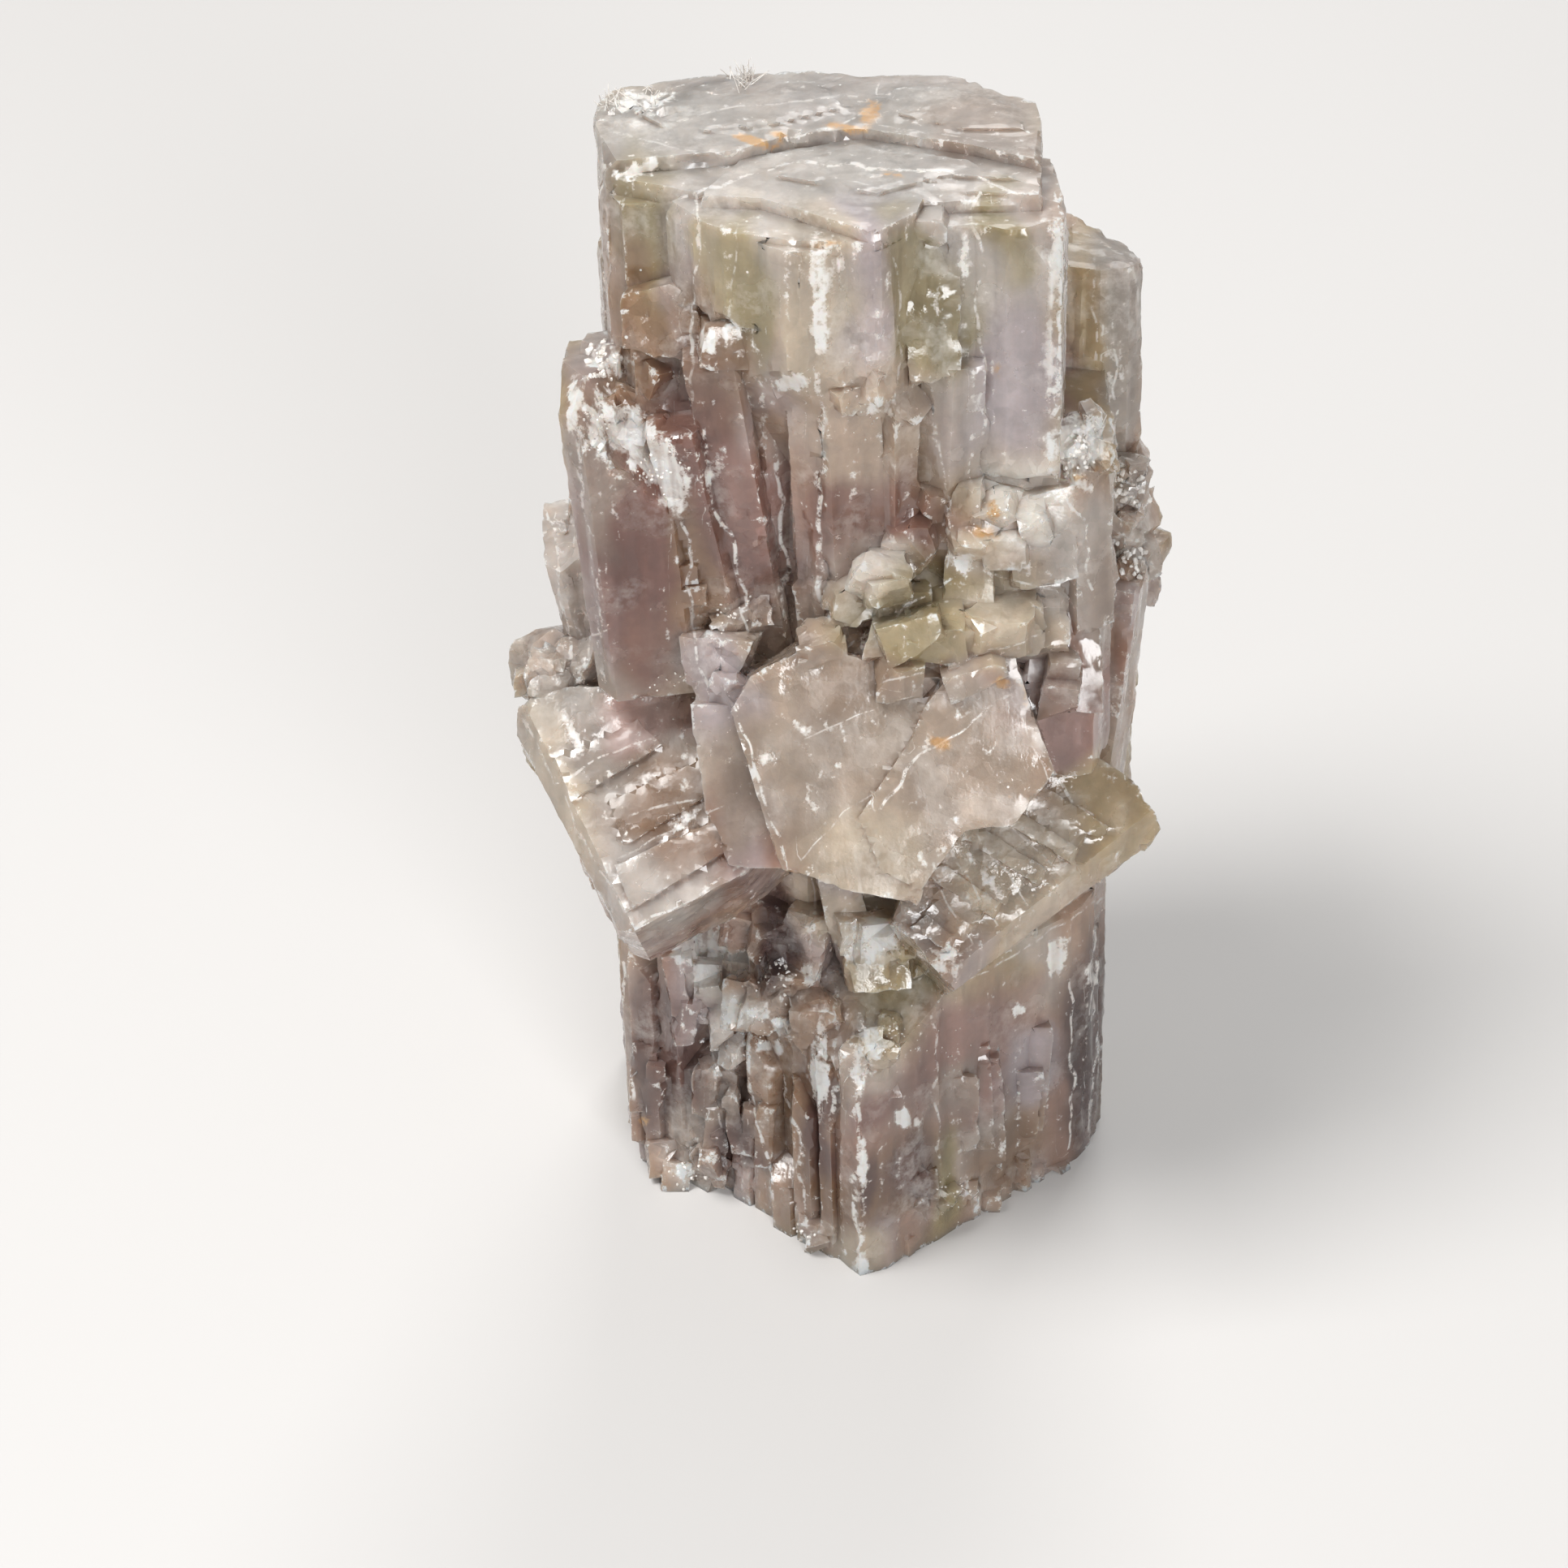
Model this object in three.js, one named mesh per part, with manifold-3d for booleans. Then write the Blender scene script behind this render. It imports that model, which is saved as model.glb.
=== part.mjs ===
// Raw aragonite: twinned crystals that grew into each other and form one solid.
// Millimetres. +X is to the right, +Y is away from the front, +Z is up.
// Crystals are drawn in the frame of the main column: [across, deep, along]. The column leans a
// little, so the joined crystals are leaned together at the end and cut flat where they stand.
import * as THREE from "three";
import { mergeVertices } from "three/addons/utils/BufferGeometryUtils.js";
import Module from "manifold-3d";

const wasm = await Module();
wasm.setup();

// Driving dimensions.
const COLUMN_TOP = 42.9;
const FRONT_LEVEL = COLUMN_TOP - 0.4;
const PINK_LEVEL = COLUMN_TOP - 0.85;
const LEFT_LEVEL = COLUMN_TOP - 1.2;
const RIGHT_LEVEL = COLUMN_TOP - 1.0;
const LEFT_CRYSTAL_TOP = 35.3;
const BROWN_COLUMN_TOP = 36.4;
const WAIST = 23;
const LOWER_TOP = 12.6;
const BELOW_BASE = -4;
const LEAN_BACK = 7.4;
const LEAN_LEFT = 1.7;

// How far a lump's corners stand from its middle, as a share of its size, and how much that varies.
const LUMP_LEAST = 0.72;
const LUMP_SPREAD = 0.42;

// The same for a broken crystal, and the most that it is turned between its two ends, in degrees.
const CHUNK_LEAST = 0.8;
const CHUNK_SPREAD = 0.35;
const CHUNK_TURN = 70;

// A rib's root below its face, and the shares of its height that its ends may lose.
const RIB_ROOT = 0.6;
const RIB_LOW_LOSS = 0.3;
const RIB_HIGH_LOSS = 0.4;

const FAR = 80;
const WELD = 1e-4;

const STONE = { color: 0xbfaa9c, roughness: 0.45, metalness: 0 };

// A closed geometry as a solid.
function solid(geometry) {
  const loose = geometry.index ? geometry.toNonIndexed() : geometry;
  const points = new THREE.BufferGeometry();
  points.setAttribute("position", loose.getAttribute("position"));
  const merged = mergeVertices(points, WELD);
  const vertProperties = merged.getAttribute("position").array;
  const triVerts = new Uint32Array(merged.index.array);
  return new wasm.Manifold(new wasm.Mesh({ numProp: 3, vertProperties, triVerts }));
}

// The geometry of a solid, with flat faces.
function geometryOf(joined) {
  const mesh = joined.getMesh();
  const indexed = new THREE.BufferGeometry();
  indexed.setAttribute("position", new THREE.BufferAttribute(mesh.vertProperties, 3));
  indexed.setIndex(new THREE.BufferAttribute(mesh.triVerts, 1));
  const flat = indexed.toNonIndexed();
  flat.computeVertexNormals();
  return flat;
}

function extruded(outline, length) {
  const shape = new THREE.Shape(outline.map(([x, y]) => new THREE.Vector2(x, y)));
  return new THREE.ExtrudeGeometry(shape, { depth: length, bevelEnabled: false });
}

// A column on the outline [across, deep], from one height to another.
function column(outline, low, high) {
  const geometry = extruded(outline, high - low);
  geometry.translate(0, 0, low);
  return solid(geometry);
}

// A thick slab whose front face has the outline [right, up] and looks to -Y.
function slab(outline, thickness) {
  const geometry = extruded(outline, thickness);
  geometry.rotateX(Math.PI / 2);
  geometry.translate(0, thickness, 0);
  return solid(geometry);
}

// Puts a solid at a point. Turn swings its front to the right, rise lifts it, roll leans it right.
function placed(piece, at, { turn = 0, rise = 0, roll = 0 } = {}) {
  const angles = [-rise, roll, turn].map(THREE.MathUtils.degToRad);
  const place = new THREE.Matrix4().makeRotationFromEuler(new THREE.Euler(...angles, "ZXY"));
  place.setPosition(...at);
  return piece.transform(place.elements);
}

// Cuts away all that lies past a point in a direction.
function cut(piece, at, towards) {
  const half = solid(new THREE.BoxGeometry(FAR, FAR, FAR).translate(0, 0, FAR / 2));
  const up = new THREE.Vector3(0, 0, 1);
  const way = new THREE.Vector3(...towards).normalize();
  const turn = new THREE.Quaternion().setFromUnitVectors(up, way);
  const place = new THREE.Matrix4().makeRotationFromQuaternion(turn);
  place.setPosition(...at);
  return piece.subtract(half.transform(place.elements));
}

// Cuts away all that lies past each of several points.
function trimmed(piece, corners) {
  return corners.reduce((rest, { at, towards }) => cut(rest, at, towards), piece);
}

function joined(pieces) {
  return pieces.reduce((all, piece) => all.add(piece));
}

// Repeatable uneven numbers from 0 to 1.
function unevenness(seed) {
  let state = seed;
  return () => {
    state = (state * 1103515245 + 12345) % 2147483648;
    return state / 2147483648;
  };
}

// A broken lump with flat facets, squashed along its axes.
function lump(at, [wide, deep, tall], seed) {
  const geometry = new THREE.IcosahedronGeometry(1, 1);
  const uneven = unevenness(seed);
  const moved = new Map();
  const place = geometry.getAttribute("position");
  for (let i = 0; i < place.count; i += 1) {
    const corner = new THREE.Vector3().fromBufferAttribute(place, i);
    const key = corner.toArray().map((part) => part.toFixed(3)).join();
    if (!moved.has(key)) moved.set(key, LUMP_LEAST + LUMP_SPREAD * uneven());
    corner.multiplyScalar(moved.get(key));
    place.setXYZ(i, corner.x * wide, corner.y * deep, corner.z * tall);
  }
  return solid(geometry).translate(...at);
}

// A small broken crystal: a many-sided slab that is turned every way.
function chunk(at, [wide, deep, tall], seed) {
  const uneven = unevenness(seed);
  const sides = 5 + Math.floor(2 * uneven());
  const outline = Array.from({ length: sides }, (_, side) => {
    const angle = (2 * Math.PI * (side + 0.5 * uneven())) / sides;
    const reach = CHUNK_LEAST + CHUNK_SPREAD * uneven();
    return [wide * reach * Math.cos(angle), tall * reach * Math.sin(angle)];
  });
  const turns = {
    turn: CHUNK_TURN * (uneven() - 0.5),
    rise: CHUNK_TURN * (uneven() - 0.3),
    roll: CHUNK_TURN * (uneven() - 0.5),
  };
  const piece = slab(outline, 2 * deep).translate(0, -deep, 0);
  const bevelled = cut(piece, [0.5 * wide, -0.8 * deep, 0], [1, -0.8, 0.3]);
  return placed(bevelled, at, turns);
}

// A row of upright ribs along a face, each with its own width, height and ends.
function ribs(from, to, count, { proud, low, high, seed }) {
  const uneven = unevenness(seed);
  const start = new THREE.Vector2(...from);
  const way = new THREE.Vector2(...to).sub(start);
  const length = way.length();
  way.normalize();
  const out = new THREE.Vector2(way.y, -way.x);
  const point = (distance, height) =>
    start.clone().addScaledVector(way, distance).addScaledVector(out, height).toArray();
  const rows = [];
  const widths = Array.from({ length: count }, () => 0.4 + uneven());
  const total = widths.reduce((sum, width) => sum + width);
  let left = 0;
  for (const share of widths) {
    const width = (length * share) / total;
    const height = proud * (0.3 + 0.7 * uneven());
    const outline = [
      point(left, -RIB_ROOT),
      point(left + 0.1 * width, 0.1 * height),
      point(left + 0.35 * width, height),
      point(left + 0.8 * width, 0.8 * height),
      point(left + width, -RIB_ROOT),
    ];
    const bottom = low + (high - low) * RIB_LOW_LOSS * uneven();
    const top = high - (high - low) * RIB_HIGH_LOSS * uneven();
    const middle = point(left + width / 2, height);
    rows.push(cut(column(outline, bottom, top), [...middle, top - 0.4 * width], [...out.toArray(), 1]));
    left += width;
  }
  return joined(rows);
}

// Main column: its body, the two levels of its top, and the parts of its broken front.
function mainColumn() {
  const back = [
    [7.0, 1.4], [6.9, 2.6], [5.3, 3.8], [4.6, 4.7], [-0.7, 5.5], [-4.3, 5.4], [-7.4, 4.7], [-8.1, 3.1],
  ];
  const body = column([
    ...back, [-7.55, -1.1], [-4.6, -2.4], [-1.3, -2.9], [0.2, -3.6], [6.8, -3.6],
  ], 12, FRONT_LEVEL - 0.15);
  const topEdge = [[-7.6, -1.1], [-3.1, -0.5], [-1.5, 0.6], [1.0, 0.9], [4.7, -0.6], [6.9, -1.9]];
  const chippedCorners = [
    { at: [-7.6, 4.4, COLUMN_TOP], towards: [-0.6, 0.7, 0.9] },
    { at: [6.6, 3.4, COLUMN_TOP - 0.1], towards: [0.6, 0.55, 1.0] },
    { at: [5.6, 4.2, COLUMN_TOP], towards: [0.3, 0.8, 1.4] },
    { at: [7.0, -0.6, COLUMN_TOP - 0.2], towards: [1, -0.1, 1.2] },
    { at: [-7.9, 0.2, COLUMN_TOP - 0.3], towards: [-1, -0.3, 1.0] },
  ];
  const top = trimmed(column([...back, ...topEdge], 36, COLUMN_TOP), chippedCorners);
  const frontTop = column([
    [-4.4, -3.0], [-2.4, -3.3], [1.3, -6.0], [2.7, -4.6], [3.1, -2.9], [6.7, -3.6],
    [6.9, -1.9], [4.7, -0.5], [1.0, 1.0], [-3.1, -0.4],
  ], 36, FRONT_LEVEL);
  const backLayer = [[-6.9, 2.6], [-5.2, 0.6], [-2.0, 1.2], [0.4, 2.4], [-0.6, 4.4], [-4.4, 4.6]];
  const rightLayer = [[1.6, 2.2], [4.4, 0.5], [6.4, 0.4], [6.2, 2.2], [4.2, 3.6], [2.2, 3.9]];
  const frontLayer = [[-2.6, -1.6], [1.4, -3.4], [3.6, -2.2], [6.2, -2.6], [4.4, -1.2], [0.6, 0.2]];
  const layers = [
    column(backLayer, FRONT_LEVEL - 0.5, COLUMN_TOP + 0.14),
    column(rightLayer, FRONT_LEVEL - 0.5, COLUMN_TOP + 0.1),
    column(frontLayer, FRONT_LEVEL - 0.5, FRONT_LEVEL + 0.14),
  ];
  const pinkTerrace = cut(column([
    [-4.6, -1.6], [-5.5, -2.7], [-5.2, -3.3], [-3.3, -4.9], [-1.2, -5.5], [1.3, -5.9], [-2.4, -3.0],
  ], 38.6, PINK_LEVEL), [-5.2, -3.2, PINK_LEVEL - 0.35], [-0.7, -0.5, 0.7]);
  const leftTerrace = column([[-7.6, -1.0], [-7.1, -1.9], [-4.5, -1.9], [-4.5, -0.6]], 30, LEFT_LEVEL);
  const middleFace = [
    [-3.2, -2.0], [-3.3, -4.4], [-2.2, -5.4], [-1.2, -6.1], [0.2, -5.7], [1.5, -6.0], [2.3, -5.0],
    [2.7, -2.0],
  ];
  const middleFront = trimmed(column(middleFace, 27, PINK_LEVEL - 0.25), [
    { at: [0, -6.0, 37.6], towards: [0.05, -1, -0.36] },
    { at: [-2.0, -5.2, 36.6], towards: [-0.5, -1, -0.5] },
    { at: [1.6, -5.6, 36.6], towards: [0.5, -1, -0.3] },
  ]);
  const brokenCorner = placed(slab([[-0.9, -3.4], [0.8, -2.9], [1.0, 1.6], [0.2, 2.2], [-0.9, 1.4]], 3),
    [3.2, -4.7, 39.7], { turn: 8, rise: 12 });
  const rightFront = cut(column([
    [3.4, -3.0], [3.7, -4.5], [4.6, -4.4], [5.6, -4.8], [7.4, -4.9], [7.6, -3.0], [7.3, 0.3], [6.8, 0.4],
  ], 32.5, RIGHT_LEVEL), [7.3, -4.5, 41], [0.5, -0.9, 0.35]);
  const rightStep = cut(column([
    [6.6, 0.4], [7.3, 0.3], [7.7, -2.9], [7.4, -4.4], [6.4, -4.2],
  ], WAIST, RIGHT_LEVEL - 0.5), [7.5, -3, 41.1], [0.8, -0.5, 0.8]);
  return joined([
    body, top, frontTop, ...layers, pinkTerrace, leftTerrace, middleFront, brokenCorner,
    rightFront, rightStep,
  ]);
}

// Blocks and crumbs that stand on the broken front of the main column.
function frontBlocks() {
  const edged = placed(slab([[-1.3, -1.2], [1.2, -1.5], [1.3, 0.8], [0.3, 1.2], [-1.3, 0.7]], 3),
    [-5.9, -3.2, 38.1], { turn: -12, rise: 10 });
  const under = placed(slab([[-1.0, -2.0], [1.3, -1.8], [1.3, 1.2], [-1.0, 1.2]], 3),
    [-5.9, -2.7, 35.8], { turn: -6, rise: 8 });
  const pale = placed(slab([[-0.8, -0.8], [0.8, -0.7], [0.7, 0.8], [-0.7, 0.7]], 3),
    [-3.7, -4.7, 37.7], { turn: 10, rise: 12, roll: 8 });
  return joined([
    edged, under, pale,
    chunk([0.4, -4.9, 36.2], [1.2, 0.7, 0.8], 71),
    chunk([2.1, -4.4, 35.6], [1.0, 0.8, 1.0], 72),
    chunk([-1.9, -4.1, 36.6], [0.7, 0.6, 0.9], 73),
  ]);
}

// The groove down the front, where the twins meet: strips with sharp ridges that converge downwards.
function frontGroove() {
  const strips = [
    { left: -5.6, right: -3.8, front: -4.1, high: 6.4, ridge: 0.85, lean: -9 },
    { left: -4.1, right: -2.2, front: -4.1, high: 9.0, ridge: 0.88, lean: -7 },
    { left: -2.6, right: -1.5, front: -3.3, high: 9.5, ridge: 0.3, lean: -4 },
    { left: -1.6, right: -0.5, front: -4.6, high: 9.5, ridge: 0.8, lean: -1 },
    { left: -0.7, right: 1.5, front: -4.9, high: 7.6, ridge: 0.2, lean: -1 },
    { left: 1.4, right: 2.6, front: -4.9, high: 7.0, ridge: 0.3, lean: 1 },
    { left: 2.5, right: 4.6, front: -4.6, high: 8.5, ridge: 0.5, lean: 2 },
  ];
  const behind = column([
    [-5.3, -1.5], [-5.3, -2.9], [-3.8, -3.2], [-2.0, -3.0], [-0.6, -3.9], [4.4, -4.2], [4.8, -1.5],
  ], 20, 36.4);
  const middleHeight = 29;
  const foot = -7;
  const rows = strips.map(({ left, right, front, high, ridge, lean }) => {
    const middle = left + (right - left) * ridge;
    const outline = [[left, 2], [left, front + 0.45], [middle, front], [right, front + 0.4], [right, 2]];
    return placed(column(outline, foot, high), [0, 0, middleHeight], { rise: -5, roll: lean });
  });
  return joined([behind, ...rows]);
}

// The tall crystal at the left, broken off along a slope, with stepped strips on its right.
function leftCrystal() {
  const upright = column([
    [-1.9, 3.4], [-2.0, -1.2], [-1.3, -2.2], [1.4, -2.0], [1.8, -1.2], [1.8, 3.4],
  ], -5.4, 8);
  const leaning = placed(upright, [-7.1, -2.2, 29], { roll: -3.6 });
  const sloped = cut(leaning, [-8.9, -3.4, LEFT_CRYSTAL_TOP], [0.66, -0.5, 0.56]);
  const topped = cut(sloped, [-8.9, -2.5, LEFT_CRYSTAL_TOP + 0.3], [-0.1, 0.15, 1]);
  const shoulder = cut(topped, [-9.2, -2, LEFT_CRYSTAL_TOP], [-0.7, -0.2, 0.7]);
  const behind = column([[-8.7, 0.8], [-8.95, -0.6], [-7.5, -1.9], [-6.8, 0.8]], WAIST, 37);
  const behindTopped = cut(behind, [-8.1, 0.3, LEFT_CRYSTAL_TOP + 0.3], [-0.1, 0.2, 1]);
  const behindSloped = cut(behindTopped, [-8.8, -0.5, LEFT_CRYSTAL_TOP], [-0.6, -0.4, 0.6]);
  const uneven = unevenness(7);
  const steps = [];
  const pitch = 0.9;
  for (let low = 23.6; low < 31; low += pitch) {
    const front = -4.25 + 0.5 * uneven();
    const right = -4.8 + 0.35 * uneven();
    const outline = [[-5.9, 1], [-5.9, front], [right - 0.3, front + 0.15], [right, 1]];
    steps.push(column(outline, low, low + 0.85 * pitch));
  }
  return joined([shoulder, behindSloped, ...steps]);
}

// The narrow clear slab beside the left crystal, with ledges across its side.
function clearSlab() {
  const outline = [[-0.6, 3.4], [-0.6, 0.4], [0.0, -0.3], [1.5, -0.1], [1.5, 3.4]];
  const uneven = unevenness(3);
  const ledges = [];
  const pitch = 0.85;
  for (let low = -4.2; low < 2; low += pitch) {
    const inset = 0.28 * uneven();
    const pulled = outline.map(([x, y]) => [x + 0.4 * inset, y + inset]);
    ledges.push(column(pulled, low, low + pitch + 0.05));
  }
  const rim = column([[-0.62, 3.4], [-0.62, 0.3], [-0.05, -0.25], [0.3, -0.2], [0.3, 3.4]], -4.0, 2.9);
  const topped = cut(joined([...ledges, rim]), [0.2, 0.5, 2.5], [-0.25, -0.5, 1]);
  return placed(topped, [-9.7, -0.4, 24.6], { roll: -9.5 });
}

function clearLump() {
  return joined([
    lump([-10.5, 0.2, 22.3], [1.75, 2.0, 1.55], 5),
    lump([-9.6, -0.4, 22.9], [1.3, 1.5, 1.2], 8),
  ]);
}

// The tilted block at the lower left: a short crystal that crosses the column.
function lowerLeftBlock() {
  const face = [
    [-2.1, 4.9], [-1.6, 5.6], [0.3, 5.3], [4.3, 3.4], [4.6, -3.2], [2.9, -3.7], [-1.4, -3.8], [-1.9, -3.3],
  ];
  const main = slab(face, 5.6);
  const bevelled = cut(main, [-1.5, 0.25, 0], [-1, -0.55, 0]);
  const layers = [
    { across: [-1.4, 2.4], up: 2.3, proud: 0.22 },
    { across: [-0.4, 4.3], up: 0.0, proud: 0.15 },
    { across: [-1.2, 3.4], up: -2.2, proud: 0.26 },
  ].map(({ across: [left, right], up, proud }) =>
    slab([[left, up - 0.9], [right, up - 0.5], [right - 0.4, up + 0.7], [left + 0.2, up + 0.8]], 2)
      .translate(0, -proud, 0));
  return placed(joined([bevelled, ...layers]), [-8.0, -5.9, 19.5], { turn: -4, rise: 48, roll: -28 });
}

// The flat plate in the middle: the end face of a twin that points forwards, notched like a star.
function frontPlate() {
  const leftHalf = [
    [-5.5, 2.2], [-4.8, 3.4], [-2.7, 4.5], [-0.9, 3.9], [0.7, 3.5], [1.3, 2.3], [1.6, -2.7],
    [0.95, -4.3], [0.75, -4.8], [-0.7, -4.4], [-1.8, -4.2], [-2.9, -3.7], [-3.9, -3.5],
  ];
  const rightHalf = [
    [0.6, 1.0], [1.2, 2.3], [2.2, 3.5], [4.3, 3.9], [4.7, 2.5], [5.6, -0.1], [4.2, -2.0], [2.5, -2.15],
    [2.0, -2.7], [0.9, -4.2], [-0.4, -3.6], [-1.2, -1.6],
  ];
  const grown = (outline, size, [right, up]) => outline.map(([x, z]) => [x * size + right, z * size + up]);
  const front = slab(rightHalf, 1.6).translate(0, -0.22, 0);
  const left = slab(leftHalf, 1.3);
  const under = slab(grown(leftHalf, 0.95, [-0.3, 0.1]), 2.4);
  const root = slab(grown(leftHalf, 0.8, [0, 0.6]), 8);
  const rightRoot = slab(grown(rightHalf, 0.84, [0.1, 0.5]), 8);
  return placed(joined([front, left, under, root, rightRoot]), [1.55, -8.0, 22.8], { rise: 24 });
}

// Layers that show past the left edge of the plate, and the pale three-sided facet above them.
function plateLayers() {
  const layer = placed(slab([[-1.6, 2.7], [1.6, 2.4], [1.8, -3.4], [-0.2, -3.3], [-1.4, -1.2]], 4),
    [-3.7, -6.9, 21.9], { rise: 20, turn: -8, roll: -6 });
  const lower = placed(slab([[-1.3, 0.9], [1.2, 0.8], [1.0, -0.9], [-0.9, -0.8]], 3),
    [-3.4, -7.6, 19.6], { rise: 26, turn: 4 });
  const facet = placed(slab([[-1.3, 1.3], [1.4, 1.4], [0.1, -1.7], [-1.0, -0.3]], 3),
    [-4.6, -5.3, 25.1], { rise: 16, turn: -14 });
  return joined([layer, lower, facet]);
}

// The greenish ledge above the plate and the broken blocks to its right.
function rightWaist() {
  const ledge = placed(slab([[-3.6, -1.6], [3.6, -1.6], [3.7, 0.2], [3.1, 1.3], [1.9, 1.0], [0.9, 1.8],
    [-1.2, 1.7], [-1.9, 0.8], [-3.0, 0.3]], 4.6),
    [4.1, -5.3, 27.7], { rise: 50, turn: 4 });
  const roughFace = [[-2.3, -2.4], [-1.0, -2.2], [1.4, 0.2], [2.3, 2.2], [1.4, 2.6], [-0.6, 0.6]];
  const rough = placed(slab(roughFace, 3), [1.6, -4.9, 29.2], { rise: 30, turn: -10 });
  const crumbled = [
    chunk([0.4, -5.0, 28.0], [1.1, 0.6, 0.9], 81),
    chunk([1.5, -4.7, 29.1], [1.1, 1.0, 1.0], 85),
    chunk([2.4, -4.6, 30.3], [0.9, 0.7, 0.9], 83),
    chunk([3.2, -4.4, 31.6], [0.7, 0.6, 0.8], 84),
  ];
  const body = column([[3.2, 3], [3.3, -4.2], [5.6, -4.8], [8.7, -4.4], [9.4, -2.4], [9.4, 3]], 20, 32.4);
  const worn = cut(body, [8.0, -4.2, 31.4], [0.25, -0.75, 0.7]);
  const blocks = [
    placed(slab([[-1.2, -1.5], [1.0, -1.6], [1.1, 1.3], [-0.9, 1.7]], 3), [4.9, -4.9, 30.8],
      { turn: -10, rise: 14, roll: 6 }),
    placed(slab([[-1.3, -1.8], [1.0, -1.6], [1.2, 1.9], [-1.2, 1.6]], 3), [7.0, -5.1, 30.2],
      { turn: 9, rise: 8, roll: -3 }),
    placed(slab([[-0.9, -1.0], [0.9, -1.0], [0.8, 1.0], [-0.8, 0.9]], 3), [4.3, -5.3, 28.7],
      { turn: -4, rise: 20 }),
    placed(slab([[-0.7, -3.2], [0.8, -3.0], [0.7, 2.9], [-0.6, 3.3]], 3), [8.6, -4.6, 29.4],
      { turn: 26, rise: 4 }),
    placed(slab([[-1.4, -1.7], [1.5, -1.9], [1.2, 1.6], [-1.1, 1.8]], 3), [7.6, -5.3, 25.4],
      { turn: 16, rise: 22, roll: 8 }),
  ];
  const white = lump([7.9, -3.6, 33.2], [1.35, 1.2, 0.95], 11);
  const crumbs = [
    chunk([7.1, -4.0, 33.4], [0.6, 0.5, 0.5], 12),
    chunk([8.6, -3.5, 33.9], [0.5, 0.4, 0.8], 13),
  ];
  return joined([ledge, rough, ...crumbled, worn, ...blocks, white, ...crumbs]);
}

// The brown column behind the right side, and the small rough crystals on its edge.
function rightColumn() {
  const upright = column([
    [6.4, 3.4], [8.3, 3.0], [9.2, 2.7], [10.2, 2.9], [10.7, 3.6], [10.3, 4.9], [9.1, 6.2], [8.1, 7.3],
    [6.0, 6.9],
  ], LOWER_TOP, BROWN_COLUMN_TOP);
  const sloped = cut(upright, [9.6, 4.4, BROWN_COLUMN_TOP], [0.25, 0.12, 0.95]);
  const flare = placed(column([[-2.6, 3.6], [-2.6, -1.6], [0.6, -2.4], [1.3, -0.6], [1.3, 3.0]], -5.2, 5.4),
    [9.2, 1.2, 20.2], { roll: 5.5 });
  const rough = [
    chunk([10.2, 3.0, 28.0], [1.0, 1.2, 1.1], 21),
    chunk([10.3, 2.6, 26.2], [1.0, 1.2, 1.2], 22),
    chunk([10.6, 3.0, 24.3], [1.1, 1.4, 1.1], 23),
    chunk([9.7, 2.2, 26.8], [0.8, 0.9, 1.3], 24),
    chunk([10.9, 2.0, 25.2], [0.6, 0.8, 0.7], 25),
  ];
  return joined([sloped, flare, ...rough]);
}

// The tilted block at the lower right, with slanted steps across its face.
function lowerRightBlock() {
  const face = [[-3.2, 4.6], [-3.6, -1.6], [-3.1, -4.3], [0.0, -5.2], [3.2, 2.6], [3.4, 3.6], [1.7, 4.5]];
  const main = cut(slab(face, 5), [0, 0.8, -5.2], [0.2, -1, -1]);
  const strip = cut(main, [1.3, 0, 0], [1, -0.75, -0.38]);
  const uneven = unevenness(31);
  const steps = [];
  const pitch = 0.62;
  for (let up = -4.1; up < 2.4; up += pitch) {
    const proud = 0.08 + 0.34 * uneven();
    const left = -3.3 + 0.9 * uneven();
    const right = -0.9 + 0.42 * (up + 4.1) + 0.4 * uneven();
    const outline = [[left, up - 0.1], [right, up - 0.15], [right - 0.2, up + 0.45], [left + 0.3, up + 0.6]];
    const step = cut(slab(outline, 1.5), [right - 0.3, 0.05, up], [1, -0.6, 0]);
    steps.push(step.translate(0, -proud, 0));
  }
  return placed(joined([strip, ...steps]), [6.44, -6.2, 17.4], { turn: 5, rise: 40, roll: 35 });
}

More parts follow.
